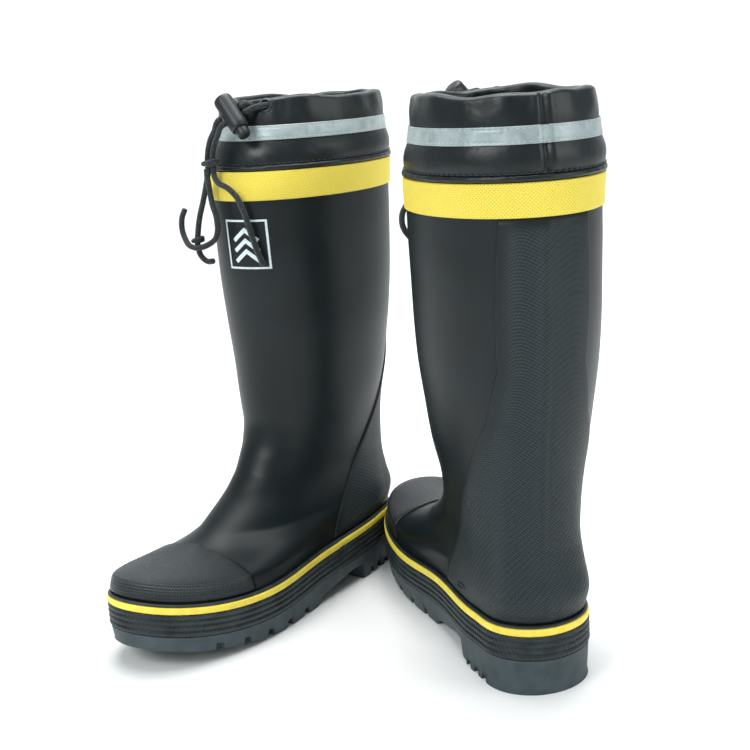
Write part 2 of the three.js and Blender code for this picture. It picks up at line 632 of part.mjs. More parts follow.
const PIECES = [
  ['outsole', outsole, SOLE_RUBBER],
  ['foxing_strip', () => foxing(STRIP_BOTTOM, STRIP_TOP, FOXING_PROUD), SOLE_RUBBER],
  ['foxing_line', () => foxing(LINE_BOTTOM, LINE_TOP, FOXING_PROUD), YELLOW],
  ['foxing_bead', () => foxing(BEAD_BOTTOM, BEAD_TOP, FOXING_PROUD - 1), RUBBER],
  ['upper', upper, RUBBER],
  ['toe_bumper', toeBumper, RUBBER],
  ['heel_panel', heelPanel, RUBBER],
  ['top_band', topBand, YELLOW],
  ['printed_mark', printedMark, INK],
  ['lining', lining, TEXTILE],
  ['toe_cap', toeCap, STEEL],
  ['heel_counter', heelCounter, FOAM],
  ['midsole', () => insole(WALL + GAP, MIDSOLE_BOTTOM, MIDSOLE_THICK), FOAM],
  ['midsole_plate', () => insole(WALL + GAP, PLATE_BOTTOM, PLATE_THICK), STEEL],
  ['footbed', () => insole(-CAP_INNER + 2 * GAP + LINING_WALL, FOOTBED_BOTTOM, FOOTBED_THICK), TEXTILE],
  ['collar', collar, PU],
  ['collar_welt', collarWelt, PU],
  ['collar_seam_tape', collarSeamTape, PU],
  ['reflective_tape', reflectiveTape, SILVER],
  ['eyelet_inner', () => eyelet(EYELETS[0]), STEEL],
  ['eyelet_outer', () => eyelet(EYELETS[1]), STEEL],
  ['drawstring', drawstring, BRAID],
  ['lock_barrel', lockBarrel, PLASTIC],
  ['lock_plunger', lockPlunger, PLASTIC],
  ['lock_spring', lockSpring, STEEL],
  ['cord_strand_a', () => strand(-1, STRAND_A), BRAID],
  ['cord_strand_b', () => strand(1, STRAND_B), BRAID],
  ['cord_tie', () => cordAlong(TIE.map(onFront)), BRAID],
  ['upper_knot', () => knot(UPPER_KNOT), BRAID],
  ['lower_knot', () => knot(LOWER_KNOT), BRAID],
];
const FREE_CORD = ['cord_strand_a', 'cord_strand_b', 'cord_tie', 'upper_knot', 'lower_knot'];

// Bigger boots stand further apart.
const spread = Math.max(lengthScale, widthScale);

/** One boot, standing at its place and heading. */
function boot(side, { x, y, heading }, mirrored) {
  const group = new THREE.Group();
  for (const [name, make, material] of PIECES) {
    const mesh = new THREE.Mesh(make(), material);
    mesh.name = `${side}_${name}`;
    mesh.position.x = -PIVOT;
    group.add(mesh);
  }
  if (mirrored) group.scale.y = -1;
  const placed = new THREE.Group().add(group);
  placed.rotation.z = THREE.MathUtils.degToRad(heading);
  placed.position.set(x * spread, y * spread, 0);
  return placed;
}

const pair = new THREE.Group().add(boot('left', LEFT_AT, false), boot('right', RIGHT_AT, true));

// The origin is at the middle of the pair's own box, on the ground, the free cords left out.
const extent = new THREE.Box3();
pair.updateMatrixWorld(true);
pair.traverse((item) => {
  const free = FREE_CORD.some((name) => item.name.endsWith(name));
  if (item.isMesh && !free) extent.union(new THREE.Box3().setFromObject(item, true));
});
const middle = extent.getCenter(new THREE.Vector3());
pair.position.set(-middle.x, -middle.y, -extent.min.z);

export default pair;
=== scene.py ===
import bmesh
import bpy
import numpy as np
from mathutils import Matrix


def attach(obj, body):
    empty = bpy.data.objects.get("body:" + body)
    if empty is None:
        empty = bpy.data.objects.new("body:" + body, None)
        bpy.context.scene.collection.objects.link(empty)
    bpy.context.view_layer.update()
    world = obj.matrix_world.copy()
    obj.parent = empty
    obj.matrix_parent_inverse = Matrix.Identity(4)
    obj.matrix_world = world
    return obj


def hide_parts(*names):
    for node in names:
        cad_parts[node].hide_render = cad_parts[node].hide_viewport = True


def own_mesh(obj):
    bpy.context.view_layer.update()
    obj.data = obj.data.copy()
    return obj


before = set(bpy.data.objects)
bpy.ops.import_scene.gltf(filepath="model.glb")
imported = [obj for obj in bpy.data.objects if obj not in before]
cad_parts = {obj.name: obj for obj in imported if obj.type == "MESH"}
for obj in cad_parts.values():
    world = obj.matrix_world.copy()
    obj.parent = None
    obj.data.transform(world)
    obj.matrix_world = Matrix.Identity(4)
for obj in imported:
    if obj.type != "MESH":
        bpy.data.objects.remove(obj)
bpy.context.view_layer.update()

# ------------------------------------------------------------------ camera
# The camera stands a metre in front of the pair, a little over the collars, and looks slightly
# down, with the head tilted a few degrees.
PAIR_SHIFT = np.array([25.1913, 88.9604, 0.0])
eye = np.array([0.0, -1033.0, 419.0]) + PAIR_SHIFT
target = np.array([0.2, 0.0, 167.0]) + PAIR_SHIFT
roll = np.radians(-3.63)
ahead = (target - eye) / np.linalg.norm(target - eye)
level_right = np.cross(ahead, [0, 0, 1])
level_right /= np.linalg.norm(level_right)
level_up = np.cross(level_right, ahead)
right = np.cos(roll) * level_right + np.sin(roll) * level_up
up = -np.sin(roll) * level_right + np.cos(roll) * level_up
camera = bpy.data.objects.new("camera", bpy.data.cameras.new("camera"))
bpy.context.collection.objects.link(camera)
camera.data.sensor_width = 36
camera.data.lens = 62.4
camera.data.clip_end = 50
axes = np.eye(4)
axes[:3, 0], axes[:3, 1], axes[:3, 2], axes[:3, 3] = right, up, -ahead, eye / 1000
camera.matrix_world = Matrix(axes.tolist())
bpy.context.scene.camera = camera

# ------------------------------------------------------------------ how the pair stands
# Each boot is drawn in its own millimetres, x from heel to toe, y to its left, z up. The right
# boot is the left one's mirror image.
SIDES = ("left", "right")
STANDS = {"left": (-48.8, 9.2, 232.7, 1), "right": (90.0, -181.5, 103.3, -1)}
PIVOT = 75.0


def stand(side, points):
    """The pair's metres from a boot's own millimetres: y is mirrored for the right boot, the
    point is turned by the boot's heading about its pivot, and the boot is moved to its place."""
    x, y, z = np.moveaxis(np.asarray(points, float), -1, 0)
    at_x, at_y, heading, hand = STANDS[side]
    cos, sin = np.cos(np.radians(heading)), np.sin(np.radians(heading))
    along, across = x - PIVOT, y * hand
    placed = [at_x + cos * along - sin * across, at_y + sin * along + cos * across, z]
    return (np.stack(placed, -1) + PAIR_SHIFT) / 1000


def grid_faces(rows, columns, close_rows=False, close_columns=False):
    """Four-sided faces of a grid of points, counted row by row, with its last row or column
    joined to the first where asked."""
    row, column = np.meshgrid(np.arange(rows - (not close_rows)),
                              np.arange(columns - (not close_columns)), indexing="ij")
    below, beside = (row + 1) % rows, (column + 1) % columns
    corners = [row * columns + column, row * columns + beside,
               below * columns + beside, below * columns + column]
    return np.stack(corners, -1).reshape(-1, 4)


def make_piece(name, side, points, faces, uv=None, weights=None, smooth=True):
    """A mesh object from a boot's own points and its faces, with millimetres as its UV map.
    Faces are turned over on the mirrored boot, and all of them if the closed shape comes out
    with a negative volume, so that they point outwards."""
    placed = stand(side, points).reshape(-1, 3)
    faces = np.asarray(faces)
    a, b, c = placed[faces[:, 0]], placed[faces[:, 1]], placed[faces[:, 2]]
    volume = (a * np.cross(b, c)).sum()
    if faces.shape[1] == 4:
        volume += (a * np.cross(c, placed[faces[:, 3]])).sum()
    if volume < 0:
        faces = faces[:, ::-1]
        uv = None if uv is None else uv[:, ::-1]
    mesh = bpy.data.meshes.new(f"{side}_{name}")
    mesh.from_pydata(placed.tolist(), [], faces.tolist())
    if uv is not None:
        layer = mesh.uv_layers.new(name="UVMap")
        layer.data.foreach_set("uv", np.ascontiguousarray(uv, dtype=np.float32).ravel())
    for key, values in (weights or {}).items():
        attribute = mesh.attributes.new(key, "FLOAT", "POINT")
        attribute.data.foreach_set("value", np.asarray(values, dtype=np.float32).ravel())
    mesh.polygons.foreach_set("use_smooth", np.full(len(mesh.polygons), smooth))
    mesh.update()
    made = bpy.data.objects.new(f"{side}_{name}_look", mesh)
    bpy.context.collection.objects.link(made)
    return made


def weld(piece, gap=0.00001):
    """Joins points that lie on each other, such as those of a closed end."""
    work = bmesh.new()
    work.from_mesh(piece.data)
    bmesh.ops.remove_doubles(work, verts=work.verts, dist=gap)
    bmesh.ops.dissolve_degenerate(work, edges=work.edges, dist=gap / 10)
    work.to_mesh(piece.data)
    work.free()


def settle(piece, body, nodes, slot, *materials):
    """Says what a piece is: the body that it rides on, the CAD nodes that it stands for, and
    its materials. The slot argument is not used."""
    for material in materials:
        piece.data.materials.append(material)
    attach(piece, body)
    if nodes:
        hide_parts(*nodes)
    return piece


# ------------------------------------------------------------------ materials' two small tools
# Every finish below is built from these: a colour turned to linear light, and one added node.
def linear(hex_colour):
    """Linear red, green, blue and alpha from an sRGB hex colour."""
    channels = np.array([int(hex_colour[i:i + 2], 16) for i in (1, 3, 5)]) / 255
    low, high = channels / 12.92, ((channels + 0.055) / 1.055) ** 2.4
    return (*np.where(channels <= 0.04045, low, high).tolist(), 1.0)


def add(material, kind, inputs=None, **settings):
    """Adds one node: settings are its own properties, and inputs its sockets' values or links."""
    made = material.node_tree.nodes.new(kind)
    for key, value in settings.items():
        setattr(made, key, value)
    for key, value in (inputs or {}).items():
        if isinstance(value, bpy.types.NodeSocket):
            material.node_tree.links.new(value, made.inputs[key])
        else:
            made.inputs[key].default_value = value
    return made


def blank(name):
    """A new material with an empty node tree."""
    material = bpy.data.materials.new(name)
    material.use_nodes = True
    material.node_tree.nodes.clear()
    return material


def surfaced(material, bump=None, **inputs):
    """Ends a material in a principled surface with the given sockets."""
    sockets = {key.replace("_", " "): value for key, value in inputs.items()}
    if bump is not None:
        sockets["Normal"] = bump
    shader = add(material, "ShaderNodeBsdfPrincipled", sockets)
    add(material, "ShaderNodeOutputMaterial", {"Surface": shader.outputs[0]})
    return material


def grain(material, size_mm, detail=3.0):
    """Even noise whose lumps are size_mm across, in the object's own space."""
    place = add(material, "ShaderNodeTexCoord").outputs["Object"]
    return add(material, "ShaderNodeTexNoise",
               {"Vector": place, "Scale": 1000 / size_mm, "Detail": detail}).outputs["Fac"]


def ridges(material, pitch_u, pitch_v):
    """Straight ridges on the UV map's millimetres, from -1 to 1: the sine of the place along
    both directions, each counted in its own pitch (0 leaves a direction out)."""
    place = add(material, "ShaderNodeUVMap", uv_map="UVMap").outputs[0]
    turns = [2 * np.pi / pitch if pitch else 0.0 for pitch in (pitch_u, pitch_v)]
    count = add(material, "ShaderNodeVectorMath", {0: place, 1: (*turns, 0.0)},
                operation="DOT_PRODUCT").outputs["Value"]
    return add(material, "ShaderNodeMath", {0: count}, operation="SINE").outputs[0]


def raised(material, height, depth_mm, normal=None, strength=1.0):
    """Turns a height from 0 to 1 into relief of a depth in millimetres."""
    sockets = {"Height": height, "Distance": depth_mm / 1000, "Strength": strength}
    if normal is not None:
        sockets["Normal"] = normal
    return add(material, "ShaderNodeBump", sockets).outputs[0]


def shaded(material, factor, low, high, low_at=0.3, high_at=0.7):
    """A colour between two, by a factor from low_at to high_at."""
    ramp = add(material, "ShaderNodeValToRGB", {"Fac": factor})
    ramp.color_ramp.elements[0].position, ramp.color_ramp.elements[1].position = low_at, high_at
    ramp.color_ramp.elements[0].color, ramp.color_ramp.elements[1].color = linear(low), linear(high)
    return ramp.outputs[0]


def between(material, value, low, high, from_low=0.0, from_high=1.0):
    """A value spread from one range onto another."""
    return add(material, "ShaderNodeMapRange", {
        "Value": value, "From Min": from_low, "From Max": from_high,
        "To Min": low, "To Max": high}).outputs[0]


# ------------------------------------------------------------------ cord lock's place
# The lock hangs on the two ends of the drawstring in front of the collar, its button down.
LOCK_CENTRE = np.array([152.5, 4.0, 383.7])
lock_axis = np.array([0.1, 0.65, -0.753])
lock_axis /= np.linalg.norm(lock_axis)
lock_side = np.array([0, -lock_axis[2], lock_axis[1]])
lock_side /= np.linalg.norm(lock_side)
lock_back = np.cross(lock_axis, lock_side)
lock_back *= -np.sign(lock_back[0])
hole_axis = np.cos(np.radians(40)) * lock_side + np.sin(np.radians(40)) * lock_back
BARREL_RADIUS = 7.25
HOLE_AT = 17.0
STRAND_PITCH = 5.4
closed_end = LOCK_CENTRE - lock_axis * HOLE_AT


def mouth(way, strand, extra=0.0):
    """Where a strand meets the lock's cross hole: on the collar's side (1) or below (-1)."""
    out = way * (BARREL_RADIUS + 0.3 + extra)
    return LOCK_CENTRE + hole_axis * out + lock_axis * strand * STRAND_PITCH / 2


# ------------------------------------------------------------------ braided cords
# The drawstring's two ends are a black polyester braid of sixteen plaits, 4.5 thick. They hang
# down the front of the leg, are knotted together twice, and end cut and heat sealed.
CORD = 4.5
STRAND_A = [
    [158.4, -10.2, 373.2], [157.6, -15.6, 367], [157.4, -19, 359.5], [158, -20, 353],
    [158.4, -20, 345], [160.8, -21, 334], [163.4, -24, 320], [165, -26.8, 310], [166, -29, 299],
    [166.2, -30.4, 288], [165.7, -28.6, 280.4], [164.8, -23, 276], [164, -16.5, 276.6]]
STRAND_B = [
    [159.2, -6.8, 369.4], [158, -11.8, 363], [157.6, -14.2, 358], [158.2, -14.6, 352.5],
    [158.6, -14.4, 346], [160.6, -12, 339.6], [162.4, -6.8, 335.2], [162.4, 1.9, 331.6],
    [161.4, 9.6, 324.4], [160.4, 14.6, 313], [158.8, 17.6, 299], [157, 20.6, 286],
    [154.6, 24.2, 273]]
TIE = [
    [162.8, -17.3, 346.4], [163, -17.2, 340], [163.3, -16.2, 334], [163.4, -15.6, 329.4],
    [164, -13.4, 319], [164.2, -10.4, 310], [164.6, -9.6, 302], [165.4, -12, 294],
    [168.4, -18.6, 289], [171.4, -26, 287.2], [172, -33, 288.6], [170.4, -39, 293.6],
    [169, -42.8, 301], [168.2, -42.6, 309], [167.8, -38.6, 316.4]]


def cord_line(points, spacing=0.75):
    """A smooth line through points: between neighbours a cubic whose slope at each point is
    that of the parabola through it and the two beside it, cut into even steps."""
    p = np.asarray(points, float)
    knots = np.concatenate([[0], np.cumsum(np.linalg.norm(np.diff(p, axis=0), axis=1))])
    slope = np.gradient(p, knots, axis=0)
    s = np.linspace(0, knots[-1], 30 * len(p))
    i = np.clip(np.searchsorted(knots, s, "right") - 1, 0, len(p) - 2)
    span = (knots[i + 1] - knots[i])[:, None]
    u = (s - knots[i])[:, None] / span
    line = (p[i] * (1 + 2 * u) * (1 - u) ** 2 + p[i + 1] * u * u * (3 - 2 * u)
            + span * (slope[i] * u * (1 - u) ** 2 + slope[i + 1] * u * u * (u - 1)))
    run = np.concatenate([[0], np.cumsum(np.linalg.norm(np.diff(line, axis=0), axis=1))])
    even = np.linspace(0, run[-1], max(8, int(run[-1] / spacing)))
    return np.stack([np.interp(even, run, line[:, k]) for k in range(3)], -1)


def braid(name, side, line, thick, steady, around=14):
    """A braided tube on a line: rings square to the line, each turned to keep one side towards
    a steady direction. Its radius swells where plaits cross, by the product of two opposite
    spirals, and closes to a rounded point at both ends."""
    run = np.concatenate([[0], np.cumsum(np.linalg.norm(np.diff(line, axis=0), axis=1))])
    tangent = np.gradient(line, run, axis=0)
    tangent /= np.linalg.norm(tangent, axis=1, keepdims=True)
    first = np.cross(tangent, np.asarray(steady, float))
    first /= np.linalg.norm(first, axis=1, keepdims=True)
    second = np.cross(tangent, first)
    angle = np.linspace(0, 2 * np.pi, around, endpoint=False)
    plait = np.cos(4 * angle + run[:, None] * 1.9) * np.cos(4 * angle - run[:, None] * 1.9)
    from_end = np.minimum(run, run[-1] - run)
    closing = np.sqrt(np.clip(1 - (1 - np.clip(from_end / 1.3, 0, 1)) ** 2, 0.0004, 1))
    radius = thick / 2 * (0.97 + 0.06 * plait) * closing[:, None]
    ring = (np.cos(angle)[None, :, None] * first[:, None] + np.sin(angle)[None, :, None]
            * second[:, None])
    points = line[:, None] + ring * radius[..., None]
    faces = grid_faces(len(line), around, close_columns=True)
    rim = np.arange(around // 2 - 1)
    cap = np.stack([rim, rim + 1, around - 2 - rim, around - 1 - rim], -1)
    faces = np.concatenate([faces, cap[:, ::-1], cap + (len(line) - 1) * around])
    u = np.concatenate([angle, [2 * np.pi]]) / (2 * np.pi) * 14
    uv = np.zeros((len(faces), 4, 2))
    row, column = np.divmod(np.arange((len(line) - 1) * around), around)
    body = uv[:len(row)]
    body[:, 0], body[:, 1] = (np.stack([u[column], run[row]], -1),
                              np.stack([u[column + 1], run[row]], -1))
    body[:, 2] = np.stack([u[column + 1], run[row + 1]], -1)
    body[:, 3] = np.stack([u[column], run[row + 1]], -1)
    return make_piece(name, side, points, faces, uv)


# Black polyester braid: matt, with a few paler filaments that catch the light.
polyester_braid = blank("polyester_braid")
strands = ridges(polyester_braid, 1.75, 1.7)
crossing = ridges(polyester_braid, -1.75, 1.7)
lattice = add(polyester_braid, "ShaderNodeMath", {0: strands, 1: crossing}, operation="MULTIPLY")
fleck = grain(polyester_braid, 0.9)
surfaced(polyester_braid,
         raised(polyester_braid, between(polyester_braid, lattice.outputs[0], 0, 1, -1, 1), 0.35),
         Base_Color=shaded(polyester_braid, fleck, "#0e1113", "#4e595e", 0.45, 0.75),
         Roughness=0.72, Sheen_Weight=0.25, Sheen_Roughness=0.4)


def knot(name, side, centre, half_wide, half_deep, rise, thick):
    """A wrapped knot: a spiral of cord nearly two turns long round the strands, oval in plan,
    that climbs as it goes and ends tucked under its own first turn."""
    turn = np.linspace(-0.2, 3.6 * np.pi, 60)
    spread = (1 - 0.25 * np.exp(-((turn - turn[0]) / 0.7) ** 2)
              - 0.25 * np.exp(-((turn[-1] - turn) / 0.7) ** 2))
    line = np.stack([centre[0] + half_deep * spread * np.cos(turn),
                     centre[1] + half_wide * spread * np.sin(turn),
                     centre[2] + rise * (turn / turn[-1] - 0.5) + 0.8 * np.sin(turn)], -1)
    return braid(name, side, cord_line(line[::3]), thick, (0, 0, 1), 12)


for side in SIDES:
    upper_knot = settle(knot("upper_knot", side, [158.3, -17.3, 350], 6.4, 3.9, 3.6, 3.6),
                        "boots", [f"{side}_upper_knot"], "cord_braid", polyester_braid)
    lower_knot = settle(knot("lower_knot", side, [166.1, -29.9, 292.5], 3.7, 3.6, 3.0, 3.4),
                        "boots", [f"{side}_lower_knot"], "cord_braid", polyester_braid)
    for name, points, carried in (
            ("cord_strand_a", [mouth(-1, -1), mouth(-1, -1, 3), *STRAND_A],
             [upper_knot, lower_knot]),
            ("cord_strand_b", [mouth(-1, 1), mouth(-1, 1, 3), *STRAND_B], []),
            ("cord_tie", TIE, [])):
        line = cord_line(points)
        cord = settle(braid(name, side, line, CORD, (1, 0, 0)), "boots", [f"{side}_{name}"],
                      "cord_braid", polyester_braid)

# ------------------------------------------------------------------ the last
# Every rubber piece is laid up on one aluminium last, so one skin gives the shape of them all.
# Rows: height, the back, the front and the half width of the leg there.
LAST = np.array([
    [37, 14, 298, 42], [48, 14, 294.6, 41], [66, 10.9, 226, 35], [82, 16.1, 197, 33],
    [98, 18.9, 174.5, 35], [118, 17.5, 159, 41.5], [145, 15, 149, 47.5], [180, 9, 148, 54],
    [225, 1.5, 151, 59], [275, -4.7, 155, 60.5], [325, -8, 157, 61], [345, -8.6, 151, 62],
    [372, -6.4, 142, 58.5], [395, -3.3, 137, 55.5]])
SOLE_OUTLINE = np.array([[0, 69], [0.15, 51.5], [0.42, 41], [0.7, 53], [0.9, 63], [1, 70]])
FEATHER = 36.7
ANKLE = 118.0
HEEL_LIFT = 13.5
TOE_SPRING = 18.4
SPRING_START = 170.0


def through(x, keys, values):
    """A monotone cubic through keys, level past its ends: the slope at a key is the harmonic
    mean of those beside it, and nought where they differ in sign."""
    x = np.clip(x, keys[0], keys[-1])
    i = np.clip(np.searchsorted(keys, x, "right") - 1, 0, len(keys) - 2)
    rise = np.diff(values) / np.diff(keys)
    product = rise[:-1] * rise[1:]
    inner = np.where(product > 0, 2 * product / np.where(product > 0, rise[:-1] + rise[1:], 1), 0)
    slope = np.concatenate([[0], inner, [0]])
    span = keys[i + 1] - keys[i]
    u = (x - keys[i]) / span
    return (values[i] * (1 + 2 * u) * (1 - u) ** 2 + slope[i] * span * u * (1 - u) ** 2
            + values[i + 1] * u * u * (3 - 2 * u) + slope[i + 1] * span * u * u * (u - 1))


def smooth(v):
    """An S curve from nought to one."""
    v = np.clip(v, 0, 1)
    return v * v * (3 - 2 * v)


def curl(x, z):
    """How far the toe curls up: by the square of the way past the ball, fading up the boot."""
    way = np.clip((x - SPRING_START) / (298 - SPRING_START), 0, 1)
    return TOE_SPRING * way ** 2 * np.clip((ANKLE - z) / 70, 0, 1)


def last_point(level, angle):
    """The last's skin. Angle runs from the heel round the left side. t is the share of the
    boot's length; the width is the sole's outline low down and the leg's ellipse high up, and
    the foot bows out at the waist and turns in at the toe."""
    t = (1 - np.cos(angle)) / 2
    lifted = HEEL_LIFT * (1 - smooth(t)) * np.clip((ANKLE - level) / (ANKLE - FEATHER), 0, 1)
    z = level + lifted
    foot = smooth((165 - z) / 105)
    instep = 1 - 0.38 * np.clip((z - 52) / 21, 0, 1) * smooth((t - 0.3) / 0.7)
    outline = through(t, SOLE_OUTLINE[:, 0], SOLE_OUTLINE[:, 1])
    half = foot * outline * instep + (1 - foot) * through(z, LAST[:, 0], LAST[:, 3])
    back, front = through(z, LAST[:, 0], LAST[:, 1]), through(z, LAST[:, 0], LAST[:, 2])
    x = back + (front - back) * t
    y = half * np.sin(angle) + foot * (4 * np.sin(np.pi * t) - 6 * t * t)
    return np.stack([x, y, z + curl(x, z)], -1)


def skin(offset, level, angle):
    """A point at an offset from the last's skin, square to it."""
    offset, level, angle = np.broadcast_arrays(offset, level, angle)
    round_it = last_point(level, angle + 0.02) - last_point(level, angle - 0.02)
    up_it = last_point(level + 0.5, angle) - last_point(level - 0.5, angle)
    out = np.cross(up_it, round_it)
    out /= np.linalg.norm(out, axis=-1, keepdims=True)
    return last_point(level, angle) + out * offset[..., None]


def steps(*stops):
    """Values from stop to stop: (start, end, count) pairs of even steps, joined."""
    return np.unique(np.round(np.concatenate([np.linspace(a, b, n) for a, b, n in stops]), 4))


AROUND = 240
angles = np.linspace(0, 2 * np.pi, AROUND, endpoint=False)


def girth(level, sign_angles):
    """Millimetres along the skin at a height, from the heel, at each angle."""
    fine = np.linspace(-2 * np.pi, 2 * np.pi, 1441)
    line = last_point(np.full_like(fine, level), fine)
    run = np.concatenate([[0], np.cumsum(np.linalg.norm(np.diff(line, axis=0), axis=1))])
    return np.interp(sign_angles, fine, run) - np.interp(0.0, fine, run)


def hoop(name, side, offsets, levels, weights=None, close=True):
    """A closed ring of material round the boot: a section, its offsets and levels given corner
    by corner (and by angle where they vary), carried round the skin. Its UV map holds the
    girth and the way along the section."""
    offsets = np.broadcast_to(np.asarray(offsets, float).reshape(len(offsets), -1),
                              (len(offsets), AROUND))
    levels = np.broadcast_to(np.asarray(levels, float).reshape(len(levels), -1),
                             (len(levels), AROUND))
    points = skin(offsets, levels, angles[None, :])
    rows = len(levels)
    faces = grid_faces(rows, AROUND, close_rows=close, close_columns=True)
    around = girth(float(levels.mean()), np.linspace(0, 2 * np.pi, AROUND + 1))
    along = np.concatenate([[0], np.cumsum(np.linalg.norm(
        np.diff(points[np.arange(rows + 1) % rows, AROUND // 4], axis=0), axis=1))])
    row, column = np.divmod(np.arange(len(faces)), AROUND)
    uv = np.stack([np.stack([around[column + (k in (1, 2))], along[row + (k in (2, 3))]], -1)
                   for k in range(4)], 1)
    return make_piece(name, side, points, faces, uv, weights)


def slab(name, side, levels, angle_grid, thick, lift, edge=1.5, relief=None):
    """A laid-on sheet: an outer grid over the skin whose thickness dies away within edge of
    its borders, an inner grid just off the skin, and a wall that joins them. levels is rows by
    columns or rows; angle_grid is rows by columns."""
    rows, columns = angle_grid.shape
    levels = np.broadcast_to(np.asarray(levels, float).reshape(rows, -1), (rows, columns))
    bare = last_point(levels, angle_grid)
    across = np.concatenate([np.zeros((rows, 1)),
                             np.cumsum(np.linalg.norm(np.diff(bare, axis=1), axis=2), axis=1)], 1)
    upward = np.concatenate([np.zeros((1, columns)),
                             np.cumsum(np.linalg.norm(np.diff(bare, axis=0), axis=2), axis=0)], 0)
    inward = np.minimum(np.minimum(across, across[:, -1:] - across),
                        np.minimum(upward, upward[-1:] - upward))
    taper = np.sqrt(1 - (1 - np.clip(inward / edge, 0, 1)) ** 2)
    outer_offset = lift + 0.15 + (thick - 0.15) * taper + (0 if relief is None else relief * taper)
    points = np.concatenate([skin(outer_offset, levels, angle_grid),
                             skin(lift, levels, angle_grid)], 0)
    top = grid_faces(rows, columns)
    under = top[:, ::-1] + rows * columns
    border = np.concatenate([np.arange(columns), (np.arange(1, rows) + 1) * columns - 1,
                             rows * columns - 2 - np.arange(columns - 1),
                             np.arange(rows - 2, 0, -1) * columns])
    after = np.roll(border, -1)
    wall = np.stack([after, border, border + rows * columns, after + rows * columns], -1)
    faces = np.concatenate([top, under, wall])
    u = np.sign(angle_grid - angle_grid[:, columns // 2:columns // 2 + 1]) * np.abs(
        across - across[:, columns // 2:columns // 2 + 1])
    flat = np.stack([u, upward], -1).reshape(-1, 2)
    uv = np.concatenate([flat, flat])[faces]
    fade = np.clip(inward / 9, 0, 1)
    return make_piece(name, side, points, faces, uv, {"inward": np.concatenate([fade, fade])})


# ------------------------------------------------------------------ outsole
# Moulded black nitrile rubber with a raised heel, an arched waist and lugs parted by grooves
# right across the tread. It is vulcanised under the foot.
OUTSOLE_TOP = 11.7
HEEL_BREAST = 84.0
WAIST_END = 146.0
FOREFOOT_GROOVES = (163, 186, 209, 232, 255)
HEEL_GROOVES = (46, 58, 70)


def tread_height(x):
    """How high the tread's face is over the ground at x: the toe's curl, the arch of the waist,
    or the roof of a groove, whichever is highest."""
    height = curl(x, 0 * x)
    waist = np.interp(x,
                      [HEEL_BREAST - 0.4, HEEL_BREAST, HEEL_BREAST + 14, WAIST_END - 6, WAIST_END],
                      [0, 13, 13, 5, 0])
    grooves = [np.interp(x, [g - 3.5, g - 2.5, g + 2.5, g + 3.5], [0, 5, 5, 0]) + curl(x, 0 * x)
               * (abs(x - g) < 3.5)
               for g in FOREFOOT_GROOVES + HEEL_GROOVES]
    return np.maximum.reduce([height, waist, *grooves])


def fill_ends(piece):
    """Fills a piece's open ends and turns all its faces outwards."""
    work = bmesh.new()
    work.from_mesh(piece.data)
    bmesh.ops.holes_fill(work, edges=[edge for edge in work.edges if edge.is_boundary])
    bmesh.ops.recalc_face_normals(work, faces=work.faces)
    work.to_mesh(piece.data)
    work.free()


def outsole(side):
    """The sole's cross-sections, one behind another: flat tread at its own height, walls that
    lean out to the foxing, and a flat top. Sections crowd together at every groove's edges."""
    corners = np.array([g + d for g in FOREFOOT_GROOVES + HEEL_GROOVES
                        for d in (-3.6, -3.5, -3.1, -2.5, -2.3, 2.3, 2.5, 3.1, 3.5, 3.6)]
                       + [HEEL_BREAST - 0.5, HEEL_BREAST - 0.4, HEEL_BREAST, HEEL_BREAST + 0.4,
                          HEEL_BREAST + 7, HEEL_BREAST + 14, WAIST_END - 6, WAIST_END,
                          WAIST_END + 0.2])
    fine = np.linspace(0, np.pi, 2001)
    halves = []
    for turn in (1, -1):
        edge = skin(1.6, np.full_like(fine, OUTSOLE_TOP), turn * fine)
        at = np.interp(corners, np.maximum.accumulate(edge[:, 0]), fine)
        halves.append(turn * np.sort(np.concatenate([at, np.linspace(0.02, np.pi - 0.02, 110)])))
    columns = []
    share = np.array([0, 0.06, 0.16, 0.4, 0.7, 0.93, 1.0])
    for station in halves:
        low = skin(1.6, np.full_like(station, OUTSOLE_TOP), station)
        high = skin(3.4, np.full_like(station, OUTSOLE_TOP), station)
        low[:, 2] = np.minimum(tread_height(low[:, 0]), high[:, 2] - 1.0)
        wall = low[:, None] + (high - low)[:, None] * share[None, :, None]
        lean = np.array([-0.9, -0.25, 0, 0, 0, 0, 0])
        inward = (low - low.mean(0)) * [0, 1, 0]
        inward /= np.maximum(np.linalg.norm(inward, axis=1, keepdims=True), 1e-9)
        wall += lean[None, :, None] * inward[:, None]
        columns.append(wall)
    left, other = columns
    tread_mid = (left[:, :1] + other[:, :1]) / 2
    top_mid = (left[:, -1:] + other[:, -1:]) / 2
    section = np.concatenate([tread_mid, left, top_mid, other[:, ::-1]], 1)
    rows, count = section.shape[:2]
    faces = grid_faces(rows, count, close_columns=True)
    ends = []
    for row, turned in ((0, False), (rows - 1, True)):
        ring = np.arange(count // 2 - 1)
        cap = np.stack([(-ring) % count, (-ring - 1) % count, ring + 1, ring], -1)[1:] + row * count
        ends.append(cap[:, ::-1] if turned else cap)
    made = make_piece("outsole", side, section, np.concatenate([faces, *ends]))
    fill_ends(made)
    return made


# Nitrile rubber, peroxide cured in a blasted mould: dark grey and matt, paler where scuffed.
nitrile_sole = blank("nitrile_sole")
scuff = grain(nitrile_sole, 14, 5)
speck = grain(nitrile_sole, 0.8, 2)
surfaced(nitrile_sole, raised(nitrile_sole, speck, 0.12),
         Base_Color=shaded(nitrile_sole, scuff, "#343e42", "#465358"),
         Roughness=between(nitrile_sole, scuff, 0.5, 0.66), Specular_IOR_Level=0.35)

